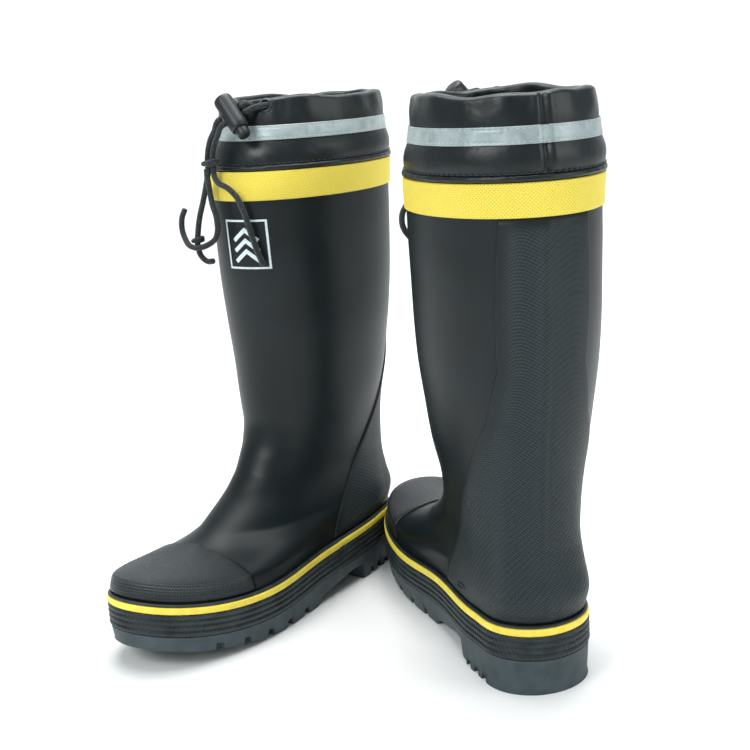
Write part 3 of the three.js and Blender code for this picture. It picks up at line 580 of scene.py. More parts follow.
for side in SIDES:
    sole = settle(outsole(side), "boots", [f"{side}_outsole"], "sole_rubber", nitrile_sole)
    sole.data.polygons.foreach_set("use_smooth", np.zeros(len(sole.data.polygons), bool))
    edge_round = sole.modifiers.new("mould radius", "BEVEL")
    edge_round.width, edge_round.segments, edge_round.limit_method = 0.0004, 2, "ANGLE"
    edge_round.angle_limit = np.radians(40)
    sole.data.polygons.foreach_set("use_smooth", np.ones(len(sole.data.polygons), bool))
    sole.data.set_sharp_from_angle(angle=np.radians(38))

# ------------------------------------------------------------------ foxing
# A strip of rubber wrapped by hand round the joint of sole and upper: four ribs, roped at the
# toe and heel, then a yellow line, then a black bead. Its ends lap on the outer side.
STRIP_BOTTOM, STRIP_TOP = 12.0, 29.2
LINE_BOTTOM, LINE_TOP = 29.5, 34.5
BEAD_BOTTOM, BEAD_TOP = 34.8, 36.6
LAP_ANGLE = 1.30

# Black foxing rubber: the roped ribs show only where the strip grips at toe and heel.
foxing_rubber = blank("foxing_rubber")
rope = ridges(foxing_rubber, 3.0, 3.4)
grip = add(foxing_rubber, "ShaderNodeAttribute", attribute_name="grip").outputs["Fac"]
roped = add(foxing_rubber, "ShaderNodeMath",
            {0: between(foxing_rubber, rope, 0, 1, -0.6, 0.6), 1: grip},
            operation="MULTIPLY").outputs[0]
worn = grain(foxing_rubber, 10, 4)
surfaced(foxing_rubber, raised(foxing_rubber, roped, 1.0),
         Base_Color=shaded(foxing_rubber, worn, "#1e2527", "#333d40"),
         Roughness=between(foxing_rubber, worn, 0.4, 0.56), Specular_IOR_Level=0.4)
# Yellow natural rubber, calendered: even colour, matt, with faint dust in its pores.
yellow_line = blank("yellow_foxing_rubber")
dust = grain(yellow_line, 6, 5)
surfaced(yellow_line, raised(yellow_line, grain(yellow_line, 0.9), 0.08),
         Base_Color=shaded(yellow_line, dust, "#f4da48", "#ffec62"),
         Roughness=0.5, Specular_IOR_Level=0.35)

share_round = (1 - np.cos(angles)) / 2
roping = np.clip(smooth((0.30 - share_round) / 0.12) + smooth((share_round - 0.80) / 0.1), 0, 1)
lap = (0.55 * np.exp(-np.clip((angles - LAP_ANGLE) / 0.16, 0, None)) * (angles > LAP_ANGLE)
       * (angles < np.pi))
for side in SIDES:
    level = np.linspace(STRIP_BOTTOM, STRIP_TOP, 49)
    rib = np.abs(np.sin(np.pi * 4 * (level - STRIP_BOTTOM) / (STRIP_TOP - STRIP_BOTTOM))) ** 0.75
    ribbed = 3.0 + 1.25 * rib[:, None] + lap[None, :]
    inner = np.full((3, AROUND), 0.4)
    strip = hoop("foxing_strip", side, np.concatenate([ribbed, inner]),
                 np.concatenate([level, [STRIP_TOP, 20, STRIP_BOTTOM]]),
                 {"grip": np.concatenate([np.broadcast_to(roping, (49, AROUND)),
                                          np.zeros((3, AROUND))])})
    settle(strip, "boots", [f"{side}_foxing_strip"], "sole_rubber", foxing_rubber)
    level = np.linspace(LINE_BOTTOM, LINE_TOP, 9)
    crown = 3.5 + 0.7 * np.sqrt(1 - np.linspace(-0.98, 0.98, 9) ** 2)
    line_hoop = hoop("foxing_line", side,
                     np.concatenate([crown[:, None] + lap, np.full((2, AROUND), 0.4)]),
                     np.concatenate([level, [LINE_TOP, LINE_BOTTOM]]))
    settle(line_hoop, "boots", [f"{side}_foxing_line"], "yellow_rubber", yellow_line)
    level = np.linspace(BEAD_BOTTOM - 0.2, BEAD_TOP, 7)
    crown = 2.3 + 1.0 * np.sqrt(1 - np.linspace(-0.98, 0.98, 7) ** 2)
    bead = hoop("foxing_bead", side,
                np.concatenate([crown[:, None] + lap, np.full((2, AROUND), 0.3)]),
                np.concatenate([level, [BEAD_TOP, BEAD_BOTTOM - 0.2]]))
    settle(bead, "boots", [f"{side}_foxing_bead"], "upper_rubber", foxing_rubber)

# ------------------------------------------------------------------ upper
# Natural rubber laid up over a knit, 3 thick, cured on the last: satin black with a blue cast,
# faint creases where the instep bends, and slow ripples down the leg.
WALL = 3.0
BAND_BOTTOM, BAND_TOP = 321.0, 342.0

laid_rubber = blank("laid_up_rubber")
bloom = grain(laid_rubber, 38, 4)
pore = grain(laid_rubber, 0.7, 2)
surfaced(laid_rubber, raised(laid_rubber, pore, 0.05),
         Base_Color=shaded(laid_rubber, bloom, "#0e1618", "#151f22"),
         Roughness=between(laid_rubber, bloom, 0.36, 0.46), Specular_IOR_Level=0.32)


def body_relief(level, angle):
    """The leg's own unevenness: three shallow creases across the front of the ankle, each a
    bell curve in height that dies away round the leg, and a slow ripple."""
    front = np.exp(-((angle - np.pi) / 0.75) ** 2)
    creases = sum(deep * np.exp(-((level - at - 5 * np.cos(2 * (angle - np.pi))) / wide) ** 2)
                  for at, wide, deep in ((104, 4, 0.5), (123, 5, 0.7), (143, 6, 0.45)))
    ripple = (0.35 * np.sin(level / 21 + 2 * angle) * np.sin(level / 34 + 1.3)
              * smooth((level - 90) / 60))
    return ripple * smooth((BAND_BOTTOM - 6 - level) / 20) - creases * front


for side in SIDES:
    outer = steps((12, FEATHER + 0.3, 4), (FEATHER + 0.3, 120, 58), (120, BAND_BOTTOM - 6, 56),
                  (BAND_BOTTOM - 6, BAND_TOP, 8))
    inner = np.array([BAND_TOP, 300, 240, 180, 140, 110, 90, 75, 62, 50, 40, 26, 12])
    outer_grid = body_relief(outer[:, None], angles[None, :])
    upper = hoop("upper", side, np.concatenate([outer_grid, np.full((len(inner), AROUND), -WALL)]),
                 np.concatenate([outer, inner]))
    settle(upper, "boots", [f"{side}_upper"], "upper_rubber", laid_rubber)

# ------------------------------------------------------------------ toe bumper
# A thicker sheet laid over the toe, ribbed like a file so that it sheds scuffs: fine ribs
# across, with arcs round the tip.
SHEET = 1.1
bumper_rubber = blank("ribbed_bumper_rubber")
file_ribs = ridges(bumper_rubber, 0.0, 1.9)
cross_ribs = ridges(bumper_rubber, 2.1, 0.0)
middle = add(bumper_rubber, "ShaderNodeAttribute", attribute_name="inward").outputs["Fac"]
woven = add(bumper_rubber, "ShaderNodeMath", {0: file_ribs, 1: cross_ribs, 2: 0.0},
            operation="MAXIMUM").outputs[0]
file_relief_and_shade = add(bumper_rubber, "ShaderNodeMath",
               {0: between(bumper_rubber, woven, 0, 1, -1, 1), 1: middle},
               operation="MULTIPLY").outputs[0]
toe_bloom = grain(bumper_rubber, 30, 4)
# The colour follows the same relief: painted shade darkens the rib grooves and the sheet's thinning
# edges, and the rib tops are painted paler.
surfaced(bumper_rubber, raised(bumper_rubber, file_relief_and_shade, 0.7),
         Base_Color=shaded(bumper_rubber, file_relief_and_shade, "#101517", "#2c3538", 0.1, 0.9),
         Roughness=between(bumper_rubber, toe_bloom, 0.38, 0.48), Specular_IOR_Level=0.4)

for side in SIDES:
    rising = np.linspace(FEATHER + 0.8, 75, 400)
    ridge = last_point(rising, np.full(400, np.pi))
    inside = ridge[:, 0] >= np.interp(ridge[:, 2], [24, 60, 110], [214, 222, 230])
    crest = rising[inside][-1]
    level = crest - (crest - FEATHER - 0.8) * (1 - np.linspace(0, 1, 49)[:, None]) ** 2
    share = np.linspace(-1, 1, 97)[None, :]
    fine = np.linspace(0.8, np.pi, 600)
    on_skin = last_point(level + 0 * fine[None, :], fine[None, :] + 0 * level)
    edge_x = np.interp(on_skin[..., 2], [24, 60, 110], [214, 222, 230])
    ahead_of = on_skin[..., 0] >= edge_x
    first_angle = np.where(ahead_of.any(1), fine[np.argmax(ahead_of, 1)], np.pi - 0.01)[:, None]
    reach = np.pi - first_angle
    bumper = slab("toe_bumper", side, level + 0 * share, np.pi + share * reach, SHEET, 0.3)
    settle(bumper, "boots", [f"{side}_toe_bumper"], "upper_rubber", bumper_rubber)

# ------------------------------------------------------------------ heel panel
# The back stay: a sheet from the foxing to the top band that stiffens the heel. It is knurled
# with fine slanting ribs, has a seam down its middle, and an injection pip low on the inside.
stay_rubber = blank("knurled_stay_rubber")
slant = ridges(stay_rubber, 2.4, 2.2)
counter_slant = ridges(stay_rubber, -4.6, 4.4)
knurl = add(stay_rubber, "ShaderNodeMath",
            {0: slant, 1: 0.35, 2: between(stay_rubber, counter_slant, 0, 0.3, -1, 1)},
            operation="MULTIPLY_ADD").outputs[0]
centre = add(stay_rubber, "ShaderNodeAttribute", attribute_name="inward").outputs["Fac"]
knurled = add(stay_rubber, "ShaderNodeMath", {0: between(stay_rubber, knurl, 0, 1, -0.35, 0.65),
                                              1: between(stay_rubber, centre, 0, 1, 0.25, 1.0)},
              operation="MULTIPLY").outputs[0]
stay_bloom = grain(stay_rubber, 40, 4)
# The colour follows the knurl: painted shade darkens its grooves and the panel's edges, and the rib
# crests are painted paler.
surfaced(stay_rubber, raised(stay_rubber, knurled, 0.45),
         Base_Color=shaded(stay_rubber, knurled, "#141c1f", "#2e3a3e", 0.1, 0.95),
         Roughness=between(stay_rubber, stay_bloom, 0.44, 0.54), Specular_IOR_Level=0.34)

STAY = np.array([[30, 0.39], [60, 0.43], [95, 0.44], [150, 0.235], [190, 0.108], [225, 0.066],
                 [330, 0.055]])
for side in SIDES:
    level = steps((FEATHER + 0.7, 110, 40), (110, 200, 34), (200, BAND_BOTTOM - 0.4, 34))[:, None]
    key_levels = np.maximum(STAY[:, 0], FEATHER)
    back_x = last_point(key_levels, 0 * key_levels)[:, 0]
    front_x = last_point(key_levels, 0 * key_levels + np.pi)[:, 0]
    fine = np.linspace(0, 2.8, 900)
    on_skin = last_point(level + 0 * fine, fine + 0 * level)
    edge_x = np.interp(on_skin[..., 2], STAY[:, 0], back_x + (front_x - back_x) * STAY[:, 1])
    reach = fine[np.argmax(on_skin[..., 0] >= edge_x, 1)][:, None]
    across = np.linspace(-1, 1, 113)[None, :]
    around_heel = across * reach
    from_seam = around_heel * 45
    seam = (0.45 * np.exp(-(from_seam / 1.3) ** 2)
            - 0.25 * np.exp(-((np.abs(from_seam) - 3) / 1.2) ** 2))
    panel = slab("heel_panel", side, level + 0 * around_heel, around_heel, SHEET, 0.3, 1.8, seam)
    settle(panel, "boots", [f"{side}_heel_panel"], "upper_rubber", stay_rubber)
    # The pip is a small moulded ring, set flat on the panel.
    spin, tube = np.meshgrid(np.linspace(0, 2 * np.pi, 32, endpoint=False),
                             np.linspace(0, 2 * np.pi, 10, endpoint=False), indexing="ij")
    pip_angle = 2 * np.pi - 1.095 + (2.6 + 0.7 * np.cos(tube)) * np.cos(spin) / 46
    pip_level = 47.0 + (2.6 + 0.7 * np.cos(tube)) * np.sin(spin)
    pip = make_piece("pip", side, skin(1.35 + 0.6 * np.sin(tube), pip_level, pip_angle),
                     grid_faces(32, 10, True, True))
    settle(pip, "boots", [], "upper_rubber", laid_rubber)

# ------------------------------------------------------------------ top band
# A yellow strip round the top of the rubber leg, pressed with a small diamond pattern.
yellow_band = blank("yellow_band_rubber")
left_hand = ridges(yellow_band, 2.3, 2.3)
right_hand = ridges(yellow_band, -2.3, 2.3)
diamond = add(yellow_band, "ShaderNodeMath", {0: left_hand, 1: right_hand},
              operation="MAXIMUM").outputs[0]
pressed = between(yellow_band, diamond, 1, 0, -1, 1)
soil = grain(yellow_band, 12, 5)
# The colour is tied to the diamond pattern: it darkens as pressed rises, painted shade in the
# pattern's pressed hollows.
surfaced(yellow_band, raised(yellow_band, pressed, 0.45),
         Base_Color=shaded(yellow_band, pressed, "#ffea5e", "#ecca3a", 0.45, 1.0),
         Roughness=between(yellow_band, soil, 0.46, 0.58),
         Specular_IOR_Level=0.35)
for side in SIDES:
    level = steps((BAND_BOTTOM, BAND_BOTTOM + 1, 4), (BAND_BOTTOM + 1, BAND_TOP - 1, 10),
                  (BAND_TOP - 1, BAND_TOP, 4))
    edge_in = np.minimum(level - BAND_BOTTOM, BAND_TOP - level)
    raised_by = 0.5 + 0.9 * np.sqrt(1 - (1 - np.clip(edge_in / 0.8, 0, 1)) ** 2)
    band = hoop("top_band", side, np.concatenate([raised_by, [0.3, 0.3]]),
                np.concatenate([level, [BAND_TOP, BAND_BOTTOM]]))
    settle(band, "boots", [f"{side}_top_band"], "yellow_rubber", yellow_band)

# ------------------------------------------------------------------ printed mark
# A plain printed sign on the front of the leg: a thin frame round three stacked chevrons, in
# white ink that has cured into the rubber.
white_ink = blank("white_boot_ink")
crackle = grain(white_ink, 3, 5)
surfaced(white_ink, Base_Color=shaded(white_ink, crackle, "#cfe0e4", "#e6f3f6", 0.35, 0.55),
         Roughness=0.55)


def stroke(points, wide):
    """One printed stroke: a strip of even width along straight runs of [across, height] points,
    its corners mitred, cut into short lengths so that it follows the leg."""
    p = np.asarray(points, float)
    run = np.concatenate([[0], np.cumsum(np.linalg.norm(np.diff(p, axis=0), axis=1))])
    s = np.unique(np.concatenate([run, np.linspace(0, run[-1], int(run[-1] / 1.5) + 2)]))
    line = np.stack([np.interp(s, run, p[:, 0]), np.interp(s, run, p[:, 1])], -1)
    step = np.diff(line, axis=0)
    step /= np.linalg.norm(step, axis=1, keepdims=True)
    side_way = np.stack([-step[:, 1], step[:, 0]], -1)
    before, after = (np.concatenate([side_way[:1], side_way]),
                     np.concatenate([side_way, side_way[-1:]]))
    mitre = before + after
    mitre /= np.maximum((mitre * before).sum(1, keepdims=True), 0.3)
    return line + mitre * wide / 2, line - mitre * wide / 2


def printed(side, strokes):
    """All strokes on the leg's front as thin closed films. A place across the front is turned
    into an angle by reading the skin's own y backwards at that height."""
    fine = np.linspace(np.pi - 0.9, np.pi + 0.9, 400)
    all_points, all_faces, start = [], [], 0
    for points, wide in strokes:
        first, second = stroke(points, wide)
        flat = np.stack([first, second], 1)
        heights = flat[..., 1]
        ys = last_point(heights[..., None] + 0 * fine, fine + 0 * heights[..., None])[..., 1]
        at = np.empty_like(heights)
        for index in np.ndindex(heights.shape):
            at[index] = np.interp(-flat[index][0], -ys[index], fine)
        n = len(flat)
        out, under = skin(0.62, heights, at), skin(0.34, heights, at)
        points_here = np.stack([out[:, 0], out[:, 1], under[:, 1], under[:, 0]], 1).reshape(-1, 3)
        faces = grid_faces(n, 4, close_columns=True)
        caps = np.array([[3, 2, 1, 0], [4 * n - 4, 4 * n - 3, 4 * n - 2, 4 * n - 1]])
        all_points.append(points_here)
        all_faces.append(np.concatenate([faces, caps]) + start)
        start += 4 * n
    return make_piece("printed_mark", side, np.concatenate(all_points), np.concatenate(all_faces),
                      smooth=False)


LEFT_EDGE, RIGHT_EDGE, LOW_EDGE, HIGH_EDGE = -7.8, 25.3, 269.8, 307.2
middle_y = (LEFT_EDGE + RIGHT_EDGE) / 2
sign = [([[LEFT_EDGE, LOW_EDGE], [LEFT_EDGE, HIGH_EDGE]], 1.5),
        ([[RIGHT_EDGE, LOW_EDGE], [RIGHT_EDGE, HIGH_EDGE]], 1.5),
        ([[LEFT_EDGE + 0.75, LOW_EDGE + 0.75], [RIGHT_EDGE - 0.75, LOW_EDGE + 0.75]], 1.5),
        ([[LEFT_EDGE + 0.75, HIGH_EDGE - 0.75], [RIGHT_EDGE - 0.75, HIGH_EDGE - 0.75]], 1.5)]
sign += [([[middle_y - 10, foot], [middle_y, foot + 8], [middle_y + 10, foot]],
          3.0) for foot in (275.5, 283.5, 291.5)]
for side in SIDES:
    settle(printed(side, sign), "boots", [f"{side}_printed_mark"], "print_ink", white_ink)

# ------------------------------------------------------------------ lining and inner pieces
# A napped knit is bonded inside the leg. Under it lie a steel toe cap, a moulded heel counter,
# a foam midsole and a steel plate; the footbed drops in on top.
napped_knit = blank("napped_knit_lining")
course = ridges(napped_knit, 0.0, 1.6)
wale = ridges(napped_knit, 1.9, 0.0)
loops = add(napped_knit, "ShaderNodeMath", {0: course, 1: wale}, operation="MULTIPLY").outputs[0]
nap = grain(napped_knit, 1.1, 4)
surfaced(napped_knit,
         raised(napped_knit, between(napped_knit, loops, 0, 1, -1, 1), 0.35,
                raised(napped_knit, nap, 0.25)),
         Base_Color=shaded(napped_knit, nap, "#34393c", "#4b5155"), Roughness=0.92,
         Sheen_Weight=0.3,
         Sheen_Roughness=0.5)
inner_foam = blank("eva_foam")
cell = grain(inner_foam, 0.8, 2)
surfaced(inner_foam, raised(inner_foam, cell, 0.15),
         Base_Color=shaded(inner_foam, cell, "#2b3033", "#383e41"),
         Roughness=0.88)
# Bright steel, pressed and lightly brushed: the default IOR, fully metallic.
pressed_steel = blank("pressed_steel")
drawn = grain(pressed_steel, 1.6, 3)
surfaced(pressed_steel, Base_Color=linear("#b4b8ba"), Metallic=1.0,
         Roughness=between(pressed_steel, drawn, 0.24, 0.38))

CAP_AND_GAP = 5.6
for side in SIDES:
    level = np.array([12.9 + 8.6, 30, 40, 50, 62, 75, 90, 110, 126, 150, 188, 240, 290, 329])
    depth = 3.3 + (CAP_AND_GAP - 3.3) * np.clip((148 - level) / 30, 0, 1)
    lining = hoop("lining", side, -np.concatenate([depth, (depth + 1.2)[::-1]]),
                  np.concatenate([level, level[::-1]]))
    settle(lining, "boots", [f"{side}_lining"], "textile", napped_knit)
    for node, finish in (("toe_cap", pressed_steel), ("heel_counter", inner_foam),
                         ("midsole", inner_foam),
                         ("midsole_plate", pressed_steel)):
        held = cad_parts[f"{side}_{node}"].data
        held.materials.clear()
        held.materials.append(finish)
    # The footbed: a plate that fills the lining, a little crowned, its edge rounded over.
    ring = np.array([0.0, 0.25, 0.5, 0.75, 0.92, 0.985, 1.0])
    plan = skin(-7.4, np.full(AROUND, 21.6), angles)
    middle_of_bed = plan.mean(0)
    top = middle_of_bed + (plan - middle_of_bed)[None] * ring[:, None, None]
    top[..., 2] += 4.5 - 1.2 * np.clip((ring - 0.9) / 0.1, 0, 1)[:, None] ** 2
    low = middle_of_bed + (plan - middle_of_bed)[None] * ring[::-1, None, None]
    bed = make_piece("footbed", side, np.concatenate([top, low]),
                     grid_faces(2 * len(ring), AROUND, close_columns=True))
    weld(bed)
    settle(bed, "boots", [f"{side}_footbed"], "textile", napped_knit)

# ------------------------------------------------------------------ collar
# A tube of polyurethane coated cloth, sewn up the back and folded down at the top into a hem
# that the drawstring runs in. It puffs between its sewn lines and puckers where it is drawn.
COLLAR_TOP = 395.0
COATED = 1.4
TAPE_BOTTOM, TAPE_TOP = 364.2, 374.8
CHANNEL_Z = 389.4
EYELET_ANGLES = (12.4 * np.pi / 12, 10.6 * np.pi / 12)

coated_cloth = blank("polyurethane_coated_cloth")
fine_grain = grain(coated_cloth, 0.6, 3)
soft_fold = grain(coated_cloth, 16, 3)
surfaced(coated_cloth,
         raised(coated_cloth, fine_grain, 0.04, raised(coated_cloth, soft_fold, 0.9)),
         Base_Color=shaded(coated_cloth, soft_fold, "#0f1618", "#172022"),
         Roughness=between(coated_cloth, soft_fold, 0.3, 0.44), Specular_IOR_Level=0.42)
sewing_thread = blank("bonded_sewing_thread")
surfaced(sewing_thread, Base_Color=linear("#2b3033"), Roughness=0.6)
pale_thread = blank("pale_sewing_thread")
surfaced(pale_thread, Base_Color=linear("#c3cccc"), Roughness=0.6)


def cloth_relief(level, angle):
    """How far the cloth stands from the last: it puffs by a sine between the welt and the tape,
    is held at the tape, and over it is gathered into pleats that fade downwards, deeper
    near the eyelets, with a groove at the centre-back seam."""
    puff = 1.3 * np.sin(np.pi * np.clip((level - 347) / (TAPE_BOTTOM - 347), 0, 1)) ** 0.8
    drawn_up = smooth((level - TAPE_TOP) / 12)
    near_front = np.exp(-((angle - np.pi) / 0.8) ** 2)
    pleats = (0.55 * np.sin(9 * angle + 1.2 * np.sin(3 * angle)) + 0.4 * np.sin(16 * angle + 2)
              + near_front * 0.5 * np.sin(31 * angle + 1)) * drawn_up
    hem_roll = (0.9
                * np.sin(np.pi
                         * np.clip((level - TAPE_TOP) / (COLLAR_TOP - TAPE_TOP), 0, 1)) ** 0.8)
    slack = 0.35 * np.sin(7 * angle + 0.8) * np.sin(np.pi * np.clip((level - 347) / 17, 0, 1))
    turn = (angle + np.pi) % (2 * np.pi) - np.pi
    sewn = (-2.4 * np.exp(-(turn * 55 / 1.7) ** 2) + 0.7
            * np.exp(-((np.abs(turn) * 55 - 4.5) / 2.2) ** 2))
    return puff + pleats + hem_roll + slack + sewn * smooth((level - 346) / 4)


def rim_height(angle):
    """How the collar's top edge rises and dips round the leg, in millimetres."""
    return (0.9 * np.sin(3 * angle + 0.6) + 0.7 * np.sin(5 * angle + 2.2) + 0.4 * np.sin(9 * angle)
            - 1.6 * np.exp(-(((angle + np.pi) % (2 * np.pi) - np.pi) / 0.25) ** 2)) - 0.6


def stitches(name, side, level, offset, pitch, long, thread, thick=0.7):
    """A row of stitches round the boot: each a short fat thread, half sunk, its cross-section a
    small circle that closes at both ends."""
    total = girth(level, np.array([2 * np.pi]))[0]
    count = int(total / pitch)
    fine = np.linspace(0, 2 * np.pi, 721)
    centres = np.interp((np.arange(count) + 0.5) * total / count, girth(level, fine), fine)
    per_mm = np.interp(centres, fine, np.gradient(fine, girth(level, fine)))
    lengthwise = np.linspace(-1, 1, 6)
    spin = np.linspace(0, 2 * np.pi, 6, endpoint=False)
    fat = thick / 2 * np.sqrt(np.clip(1 - lengthwise ** 2 * 0.97, 0, 1))
    angle = centres[:, None, None] + lengthwise[None, :, None] * (long / 2) * per_mm[:, None, None]
    around = fat[None, :, None] * np.cos(spin)[None, None, :]
    points = skin(offset + around + 0 * angle,
                  level + fat[None, :, None] * np.sin(spin) + 0 * angle,
                  angle + 0 * around)
    one = grid_faces(6, 6, close_columns=True)
    caps = np.array([[0, 1, 2, 3], [0, 3, 4, 5], [33, 32, 31, 30], [35, 34, 33, 30]])[:, ::-1]
    one = np.concatenate([one, caps])
    faces = (one[None] + 36 * np.arange(count)[:, None, None]).reshape(-1, 4)
    made = make_piece(name, side, points.reshape(-1, 3), faces)
    settle(made, "boots", [], "cord_braid", thread)
    return made


# The cut cloth is as long as the girth just over the welt. It is as deep as its own path: up
# inside the rubber, out under the welt, up to the rim, over the hem and down behind it.
CLOTH_LONG = girth(347.0, np.array([2 * np.pi]))[0]
for side in SIDES:
    rising = steps((346.9, TAPE_TOP, 22), (TAPE_TOP, COLLAR_TOP - 2.5, 16))
    relief = cloth_relief(rising[:, None], angles[None, :]) + 0.05
    lift = rim_height(angles)[None, :] * smooth((rising[:, None] - TAPE_TOP) / 15)
    hem_in = -(COATED + 7.0 + COATED)
    pleat_in = 0.8 * cloth_relief(np.full((1, 1), COLLAR_TOP - 3), angles[None, :])
    roll_over = np.linspace(0, np.pi, 7)[1:-1]
    top_offsets = [(relief[-1] + hem_in) / 2 + (relief[-1] - hem_in) / 2
                   * np.cos(a) for a in roll_over]
    top_levels = [COLLAR_TOP - 2.5 + 2.5 * np.sin(a) + rim_height(angles) for a in roll_over]
    falling = np.array([COLLAR_TOP - 2.5, 386, 379, 372])
    drop_levels = (falling[:, None] + rim_height(angles)[None, :]
                   * smooth((falling[:, None] - 371) / 18))
    section = [relief, np.array(top_offsets), np.full((4, AROUND), hem_in) + pleat_in * 0.6,
               np.full((1, AROUND), hem_in + COATED) + pleat_in * 0.6,
               np.full((2, AROUND), -COATED - 2.6), np.full((1, AROUND), -COATED - 0.4),
               np.full((3, AROUND), -3.3 - COATED), np.full((2, AROUND), -3.3),
               np.full((1, AROUND), -2.4)]
    heights = [rising[:, None] + lift, np.array(top_levels), drop_levels,
               np.full((1, AROUND), 371.0),
               np.array([[378.0], [372.0]]) + 0 * angles, np.full((1, AROUND), 360.0),
               np.array([[348.0], [340.0], [330.0]]) + 0 * angles,
               np.array([[330.0], [342.3]]) + 0 * angles,
               np.full((1, AROUND), 342.5)]
    collar = hoop("collar", side, np.concatenate(section), np.concatenate(heights))
    settle(collar, "boots", [f"{side}_collar"], "pu_collar", coated_cloth)
    seam_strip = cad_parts[f"{side}_collar_seam_tape"].data
    seam_strip.materials.clear()
    seam_strip.materials.append(coated_cloth)

# ------------------------------------------------------------------ welt
# A piping of the same cloth round a cord covers the joint of collar and rubber. One row of
# lockstitch runs along its top.
for side in SIDES:
    spin = np.linspace(0, 2 * np.pi, 16, endpoint=False)
    wobble = 0.12 * np.sin(40 * angles)[None, :]
    welt = hoop("collar_welt", side, -0.2 + (2.1 + wobble) * np.cos(spin)[:, None],
                344.3 + (2.1 + wobble) * np.sin(spin)[:, None])
    settle(welt, "boots", [f"{side}_collar_welt"], "pu_collar", coated_cloth)
    stitches("welt_stitches", side, 347.2, 0.9, 4.4, 3.2, sewing_thread, 0.9)

# ------------------------------------------------------------------ reflective tape
# Silver grey glass-bead tape, sewn on along both edges. It is held flat, and cockles a little
# between stitches.
bead_tape = blank("glass_bead_tape")
bead_grain = grain(bead_tape, 0.5, 2)
cockle = grain(bead_tape, 9, 4)
surfaced(bead_tape, raised(bead_tape, cockle, 0.7, raised(bead_tape, bead_grain, 0.05)),
         Base_Color=shaded(bead_tape, cockle, "#94a3a4", "#b6c3c4"), Metallic=0.25,
         Roughness=between(bead_tape, cockle, 0.34, 0.5), Sheen_Weight=0.2)
for side in SIDES:
    level = steps((TAPE_BOTTOM, TAPE_TOP, 15))
    inset = np.minimum(level - TAPE_BOTTOM, TAPE_TOP - level)
    pinch = 0.95 - 0.35 * np.exp(-((inset - 1.5) / 0.5) ** 2)
    cockles = 0.16 * np.sin(95 * angles)[None, :] * np.exp(-((inset[:, None] - 1.5) / 1.6) ** 2)
    base = cloth_relief(level[:, None], angles[None, :])
    outer = pinch[:, None] + cockles + base * 0.9
    tape = hoop("reflective_tape", side, np.concatenate([outer, outer[::-1][[0, -1]] * 0 + 0.1]),
                np.concatenate([level, [TAPE_TOP, TAPE_BOTTOM]]))
    settle(tape, "boots", [f"{side}_reflective_tape"], "reflective", bead_tape)
    for name, height in (("tape_lower_stitches", TAPE_BOTTOM + 1.5),
                         ("tape_upper_stitches", TAPE_TOP - 1.5)):
        stitches(name, side, height, 0.75, 3.6, 2.2, pale_thread, 0.55)

# ------------------------------------------------------------------ eyelets
# Two small blackened steel rims, rolled over from the front, that the drawstring leaves by.
blackened_steel = blank("blackened_steel")
handled = grain(blackened_steel, 1.2, 3)
surfaced(blackened_steel, Base_Color=linear("#4a5154"), Metallic=1.0,
         Roughness=between(blackened_steel, handled, 0.28, 0.42))
for side in SIDES:
    for name, place in (("eyelet_inner", EYELET_ANGLES[0]), ("eyelet_outer", EYELET_ANGLES[1])):
        bore, flange = 3.1, 5.2
        profile = np.array([[bore, -1.6], [bore, 0.2], [bore + 0.25, 1.15], [bore + 0.9, 1.6],
                            [bore + 1.5, 1.35],
                            [flange, 0.8], [flange + 0.05, 0.5], [flange - 0.3, 0.35],
                            [bore + 0.8, 0.3],
                            [bore + 0.8, -1.6]])
        spin = np.linspace(0, 2 * np.pi, 40, endpoint=False)
        seat = skin(0.0, CHANNEL_Z, place)
        out = skin(1.0, CHANNEL_Z, place) - seat
        sideways = np.cross([0, 0, 1], out)
        sideways /= np.linalg.norm(sideways)
        upright = np.cross(out, sideways)
        proud = 1.0
        points = (seat + (profile[:, 1] + proud)[:, None, None] * out
                  + profile[:, 0][:, None, None] * (np.cos(spin)[None, :, None] * sideways
                                                    + np.sin(spin)[None, :, None] * upright))
        rim = make_piece(name, side, points, grid_faces(len(profile), 40, True, True))
        settle(rim, "boots", [f"{side}_{name}"], "steel", blackened_steel)

# ------------------------------------------------------------------ drawstring
# The middle of the cord: in at one eyelet, round the hem and out at the other. Both ends come up
# to the lock's barrel and stop at its side.
INNER_LOOP = [[143.6, 9.6, 392], [142, 4, 391.6], [141.9, -2, 390.3]]
OUTER_LOOP = [[139.6, 18.3, 389.2], [142.4, 15.2, 388.3]]
for side in SIDES:
    seats = [skin(0.0, CHANNEL_Z, place) for place in EYELET_ANGLES]
    outs = [skin(1.0, CHANNEL_Z, place) - seat for place, seat in zip(EYELET_ANGLES, seats)]
    hem_run = skin(-4.9, np.full(20, CHANNEL_Z), (14 + np.arange(20)) * np.pi / 12)
    into = [seats[0] + outs[0] * 2.4, seats[0] - outs[0] * 1.4]
    leave = [seats[1] - outs[1] * 1.4, seats[1] + outs[1] * 2.4]
    line = cord_line([mouth(1, -1), mouth(1, -1, 2.5), *INNER_LOOP, *into, *hem_run, *leave,
                      *OUTER_LOOP,
                      mouth(1, 1, 2.5), mouth(1, 1)], 1.0)
    settle(braid("drawstring", side, line, CORD, (0, 0, 1)), "boots", [f"{side}_drawstring"],
           "cord_braid", polyester_braid)

# ------------------------------------------------------------------ cord lock
# Acetal barrel and button, matt black from a spark-eroded mould. A cross hole runs through both,
# and the cords end at the barrel's sides. A spring stands under the button.
spark_acetal = blank("spark_eroded_acetal")
eroded = grain(spark_acetal, 0.7, 2)
surfaced(spark_acetal, raised(spark_acetal, eroded, 0.06),
         Base_Color=shaded(spark_acetal, eroded, "#12181a", "#1f272a"), Roughness=0.42,
         Specular_IOR_Level=0.5)


